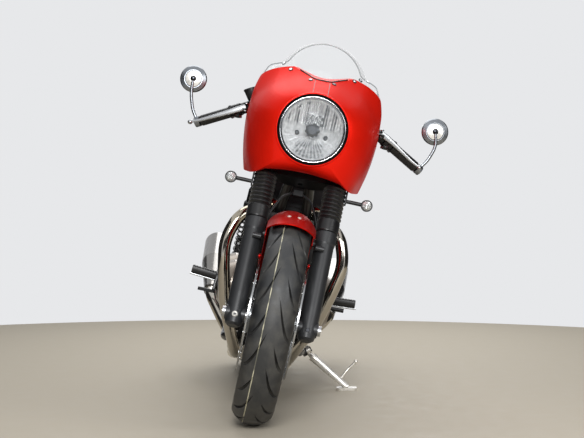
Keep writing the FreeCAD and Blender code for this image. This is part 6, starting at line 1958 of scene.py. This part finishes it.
@dataclass(frozen=True)
class Studio:
    """Pale round floor, soft lamps and the camera."""

    floor_radius: float = 3000.0
    eye: Triple = (42.5, -3875.7, 611.6)
    heading: float = 1.2
    pitch: float = -0.38
    focal_mm: float = 83.4

    def build(self, layout: Layout) -> None:
        """Makes the floor, lamps, world and camera."""
        self.floor(layout)
        self.world()
        self.lamps(layout)
        self.cards(layout)
        self.camera(layout)

    def prop(self, name: str, points: Points, faces: Points, finish: Look) -> bpy.types.Object:
        """An object of the studio, given in metres in the frame."""
        mesh = bpy.data.meshes.new(name)
        mesh.from_pydata(points.tolist(), [], faces.tolist())
        made = bpy.data.objects.new(name, mesh)
        bpy.context.scene.collection.objects.link(made)
        mesh.materials.append(finish.material())
        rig.stage(made)
        return made

    def floor(self, layout: Layout) -> None:
        """Round slab under the machine: rings of radius 0 to full about its middle."""
        middle = np.array([0.0, WHEELBASE / 2, 0.0]) * MM + layout.chassis.origin
        angle = np.linspace(0.0, 2 * pi, 96, endpoint=False)
        rings = np.array([0.001, 0.25, 0.5, 1.0])[:, None] * self.floor_radius * MM
        points = columns(middle[0] + rings * np.cos(angle), middle[1] + rings * np.sin(angle), 0.0)
        flat = grid(points[::-1], wrap_columns=True)
        self.prop("floor", flat.points, flat.quads, PALE_FLOOR)

    def world(self) -> None:
        """Even grey light, with a pale background for the eye, metal and glass."""
        world = bpy.data.worlds.new("studio")
        bpy.context.scene.world = world
        world.use_nodes = True
        tree = world.node_tree
        tree.nodes.clear()
        path = add(tree, "ShaderNodeLightPath")
        seen = combine(tree, "MAXIMUM", path.outputs["Is Camera Ray"], path.outputs["Is Glossy Ray"])
        seen = combine(tree, "MAXIMUM", seen, path.outputs["Is Transmission Ray"])
        fill = add(tree, "ShaderNodeBackground", {"Color": linear("#dfe2e6"), "Strength": 0.32})
        pale = add(tree, "ShaderNodeBackground", {"Color": linear("#e7e8ea"), "Strength": 1.0})
        mixed = add(tree, "ShaderNodeMixShader", {0: seen, 1: fill.outputs[0], 2: pale.outputs[0]})
        add(tree, "ShaderNodeOutputWorld", {"Surface": mixed.outputs[0]})

    def lamps(self, layout: Layout) -> None:
        """Large soft boxes above and beside the machine."""
        # name, place, aim, size, watts
        rows = (
            ("key", (60, -3700, 2000), (0, 100, 600), 1300, 125),
            ("fill", (2300, -2000, 1500), (0, 200, 600), 1200, 24),
            ("top", (0, 1700, 2900), (0, 900, 0), 2000, 30),
            ("rear", (600, 3600, 2200), (0, 1000, 600), 1600, 34),
        )
        for name, place, aim, size, watts in rows:
            lamp = bpy.data.lights.new(name, "AREA")
            lamp.shape = "SQUARE"
            lamp.size = size * MM
            lamp.energy = watts
            holder = bpy.data.objects.new(name, lamp)
            bpy.context.scene.collection.objects.link(holder)
            start = layout.chassis.origin + np.array(place) * MM
            end = layout.chassis.origin + np.array(aim) * MM
            holder.matrix_world = matrix_from(start, toward(start - end))

    def cards(self, layout: Layout) -> None:
        """Dark cards that only shiny surfaces see, so that chrome and lacquer have edges."""
        # name, middle, half width, half height, which way it faces
        rows = (
            ("front_card", (0, -5200, 500), 3400, 700, (0, 1, 0)),
            ("left_card", (2600, 2600, 1300), 4600, 1500, (-1, 0, 0)),
            ("right_card", (-2600, 2600, 1300), 4600, 1500, (1, 0, 0)),
        )
        sign = np.array([(-1, -1), (1, -1), (1, 1), (-1, 1)], float)
        for name, middle, width, height, facing in rows:
            turn = toward(facing)
            flat = columns(sign[:, 0] * width, sign[:, 1] * height, 0.0)
            points = layout.chassis.origin + (flat @ turn.T + np.array(middle)) * MM
            card = self.prop(name, points, np.array([[0, 1, 2, 3]]), CARD_GREY)
            for ray in ("camera", "diffuse", "shadow", "transmission"):
                setattr(card, "visible_" + ray, False)

    def camera(self, layout: Layout) -> None:
        """Camera at standing distance ahead of the machine, a little above the axle."""
        data = bpy.data.cameras.new("camera")
        data.lens = self.focal_mm
        data.sensor_width = 36.0
        camera = bpy.data.objects.new("camera", data)
        bpy.context.scene.collection.objects.link(camera)
        heading, pitch = radians(self.heading), radians(self.pitch)
        look = np.array([sin(heading) * cos(pitch), cos(heading) * cos(pitch), sin(pitch)])
        camera.matrix_world = matrix_from(layout.chassis.origin + np.array(self.eye) * MM, toward(-look))
        bpy.context.scene.camera = camera


def matrix_from(origin: Points, turn: Points) -> "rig.Matrix":
    """Four by four matrix from a place and three columns."""
    full = np.eye(4)
    full[:3, :3] = turn
    full[:3, 3] = origin
    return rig.Matrix(full.tolist())


def main() -> None:
    """Builds the looks in order and reports each piece."""
    logging.basicConfig(level=logging.INFO, format="%(message)s")
    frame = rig.load()
    sizes = {"cad": [list(corner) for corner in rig.bounds()]}
    layout = Layout.from_joints(frame["joints"])
    workshop = Workshop(frame, layout)
    for finish, nodes in NODE_FINISHES:
        for node in nodes.split():
            workshop.dress(node, finish)
    builders = [
        HeadLamp(workshop),
        TreadedTyre(workshop, "front_tyre", layout.front.on("front_wheel_body"), FRONT_HUB,
                    FRONT_TYRE_RADIUS, width=120.0, rim_width=104.0, periods=10),
        TreadedTyre(workshop, "rear_tyre", layout.chassis.on("rear_wheel_body"), REAR_HUB,
                    REAR_TYRE_RADIUS, width=160.0, rim_width=140.0, periods=10),
        RollerChain(workshop),
        BubbleScreen(workshop),
        ShellTrim(workshop),
        HandControls(workshop),
        Mirrors(workshop),
        Indicators(workshop),
        Instruments(workshop),
        Radiator(workshop),
        EngineTrim(workshop),
        Shocks(workshop),
        WheelTrim(workshop),
        ForkTrim(workshop),
        FootTrim(workshop),
        TailTrim(workshop),
        Saddle(workshop),
    ]
    for builder in builders:
        LOG.info("building %s", type(builder).__name__)
        builder.build()
    Studio().build(layout)
    bpy.context.scene.view_settings.view_transform = "Standard"
    sizes["visual"] = [list(corner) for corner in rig.bounds()]
    with open("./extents.json", "w") as handle:
        json.dump(sizes, handle)


if __name__ == "__main__":
    main()
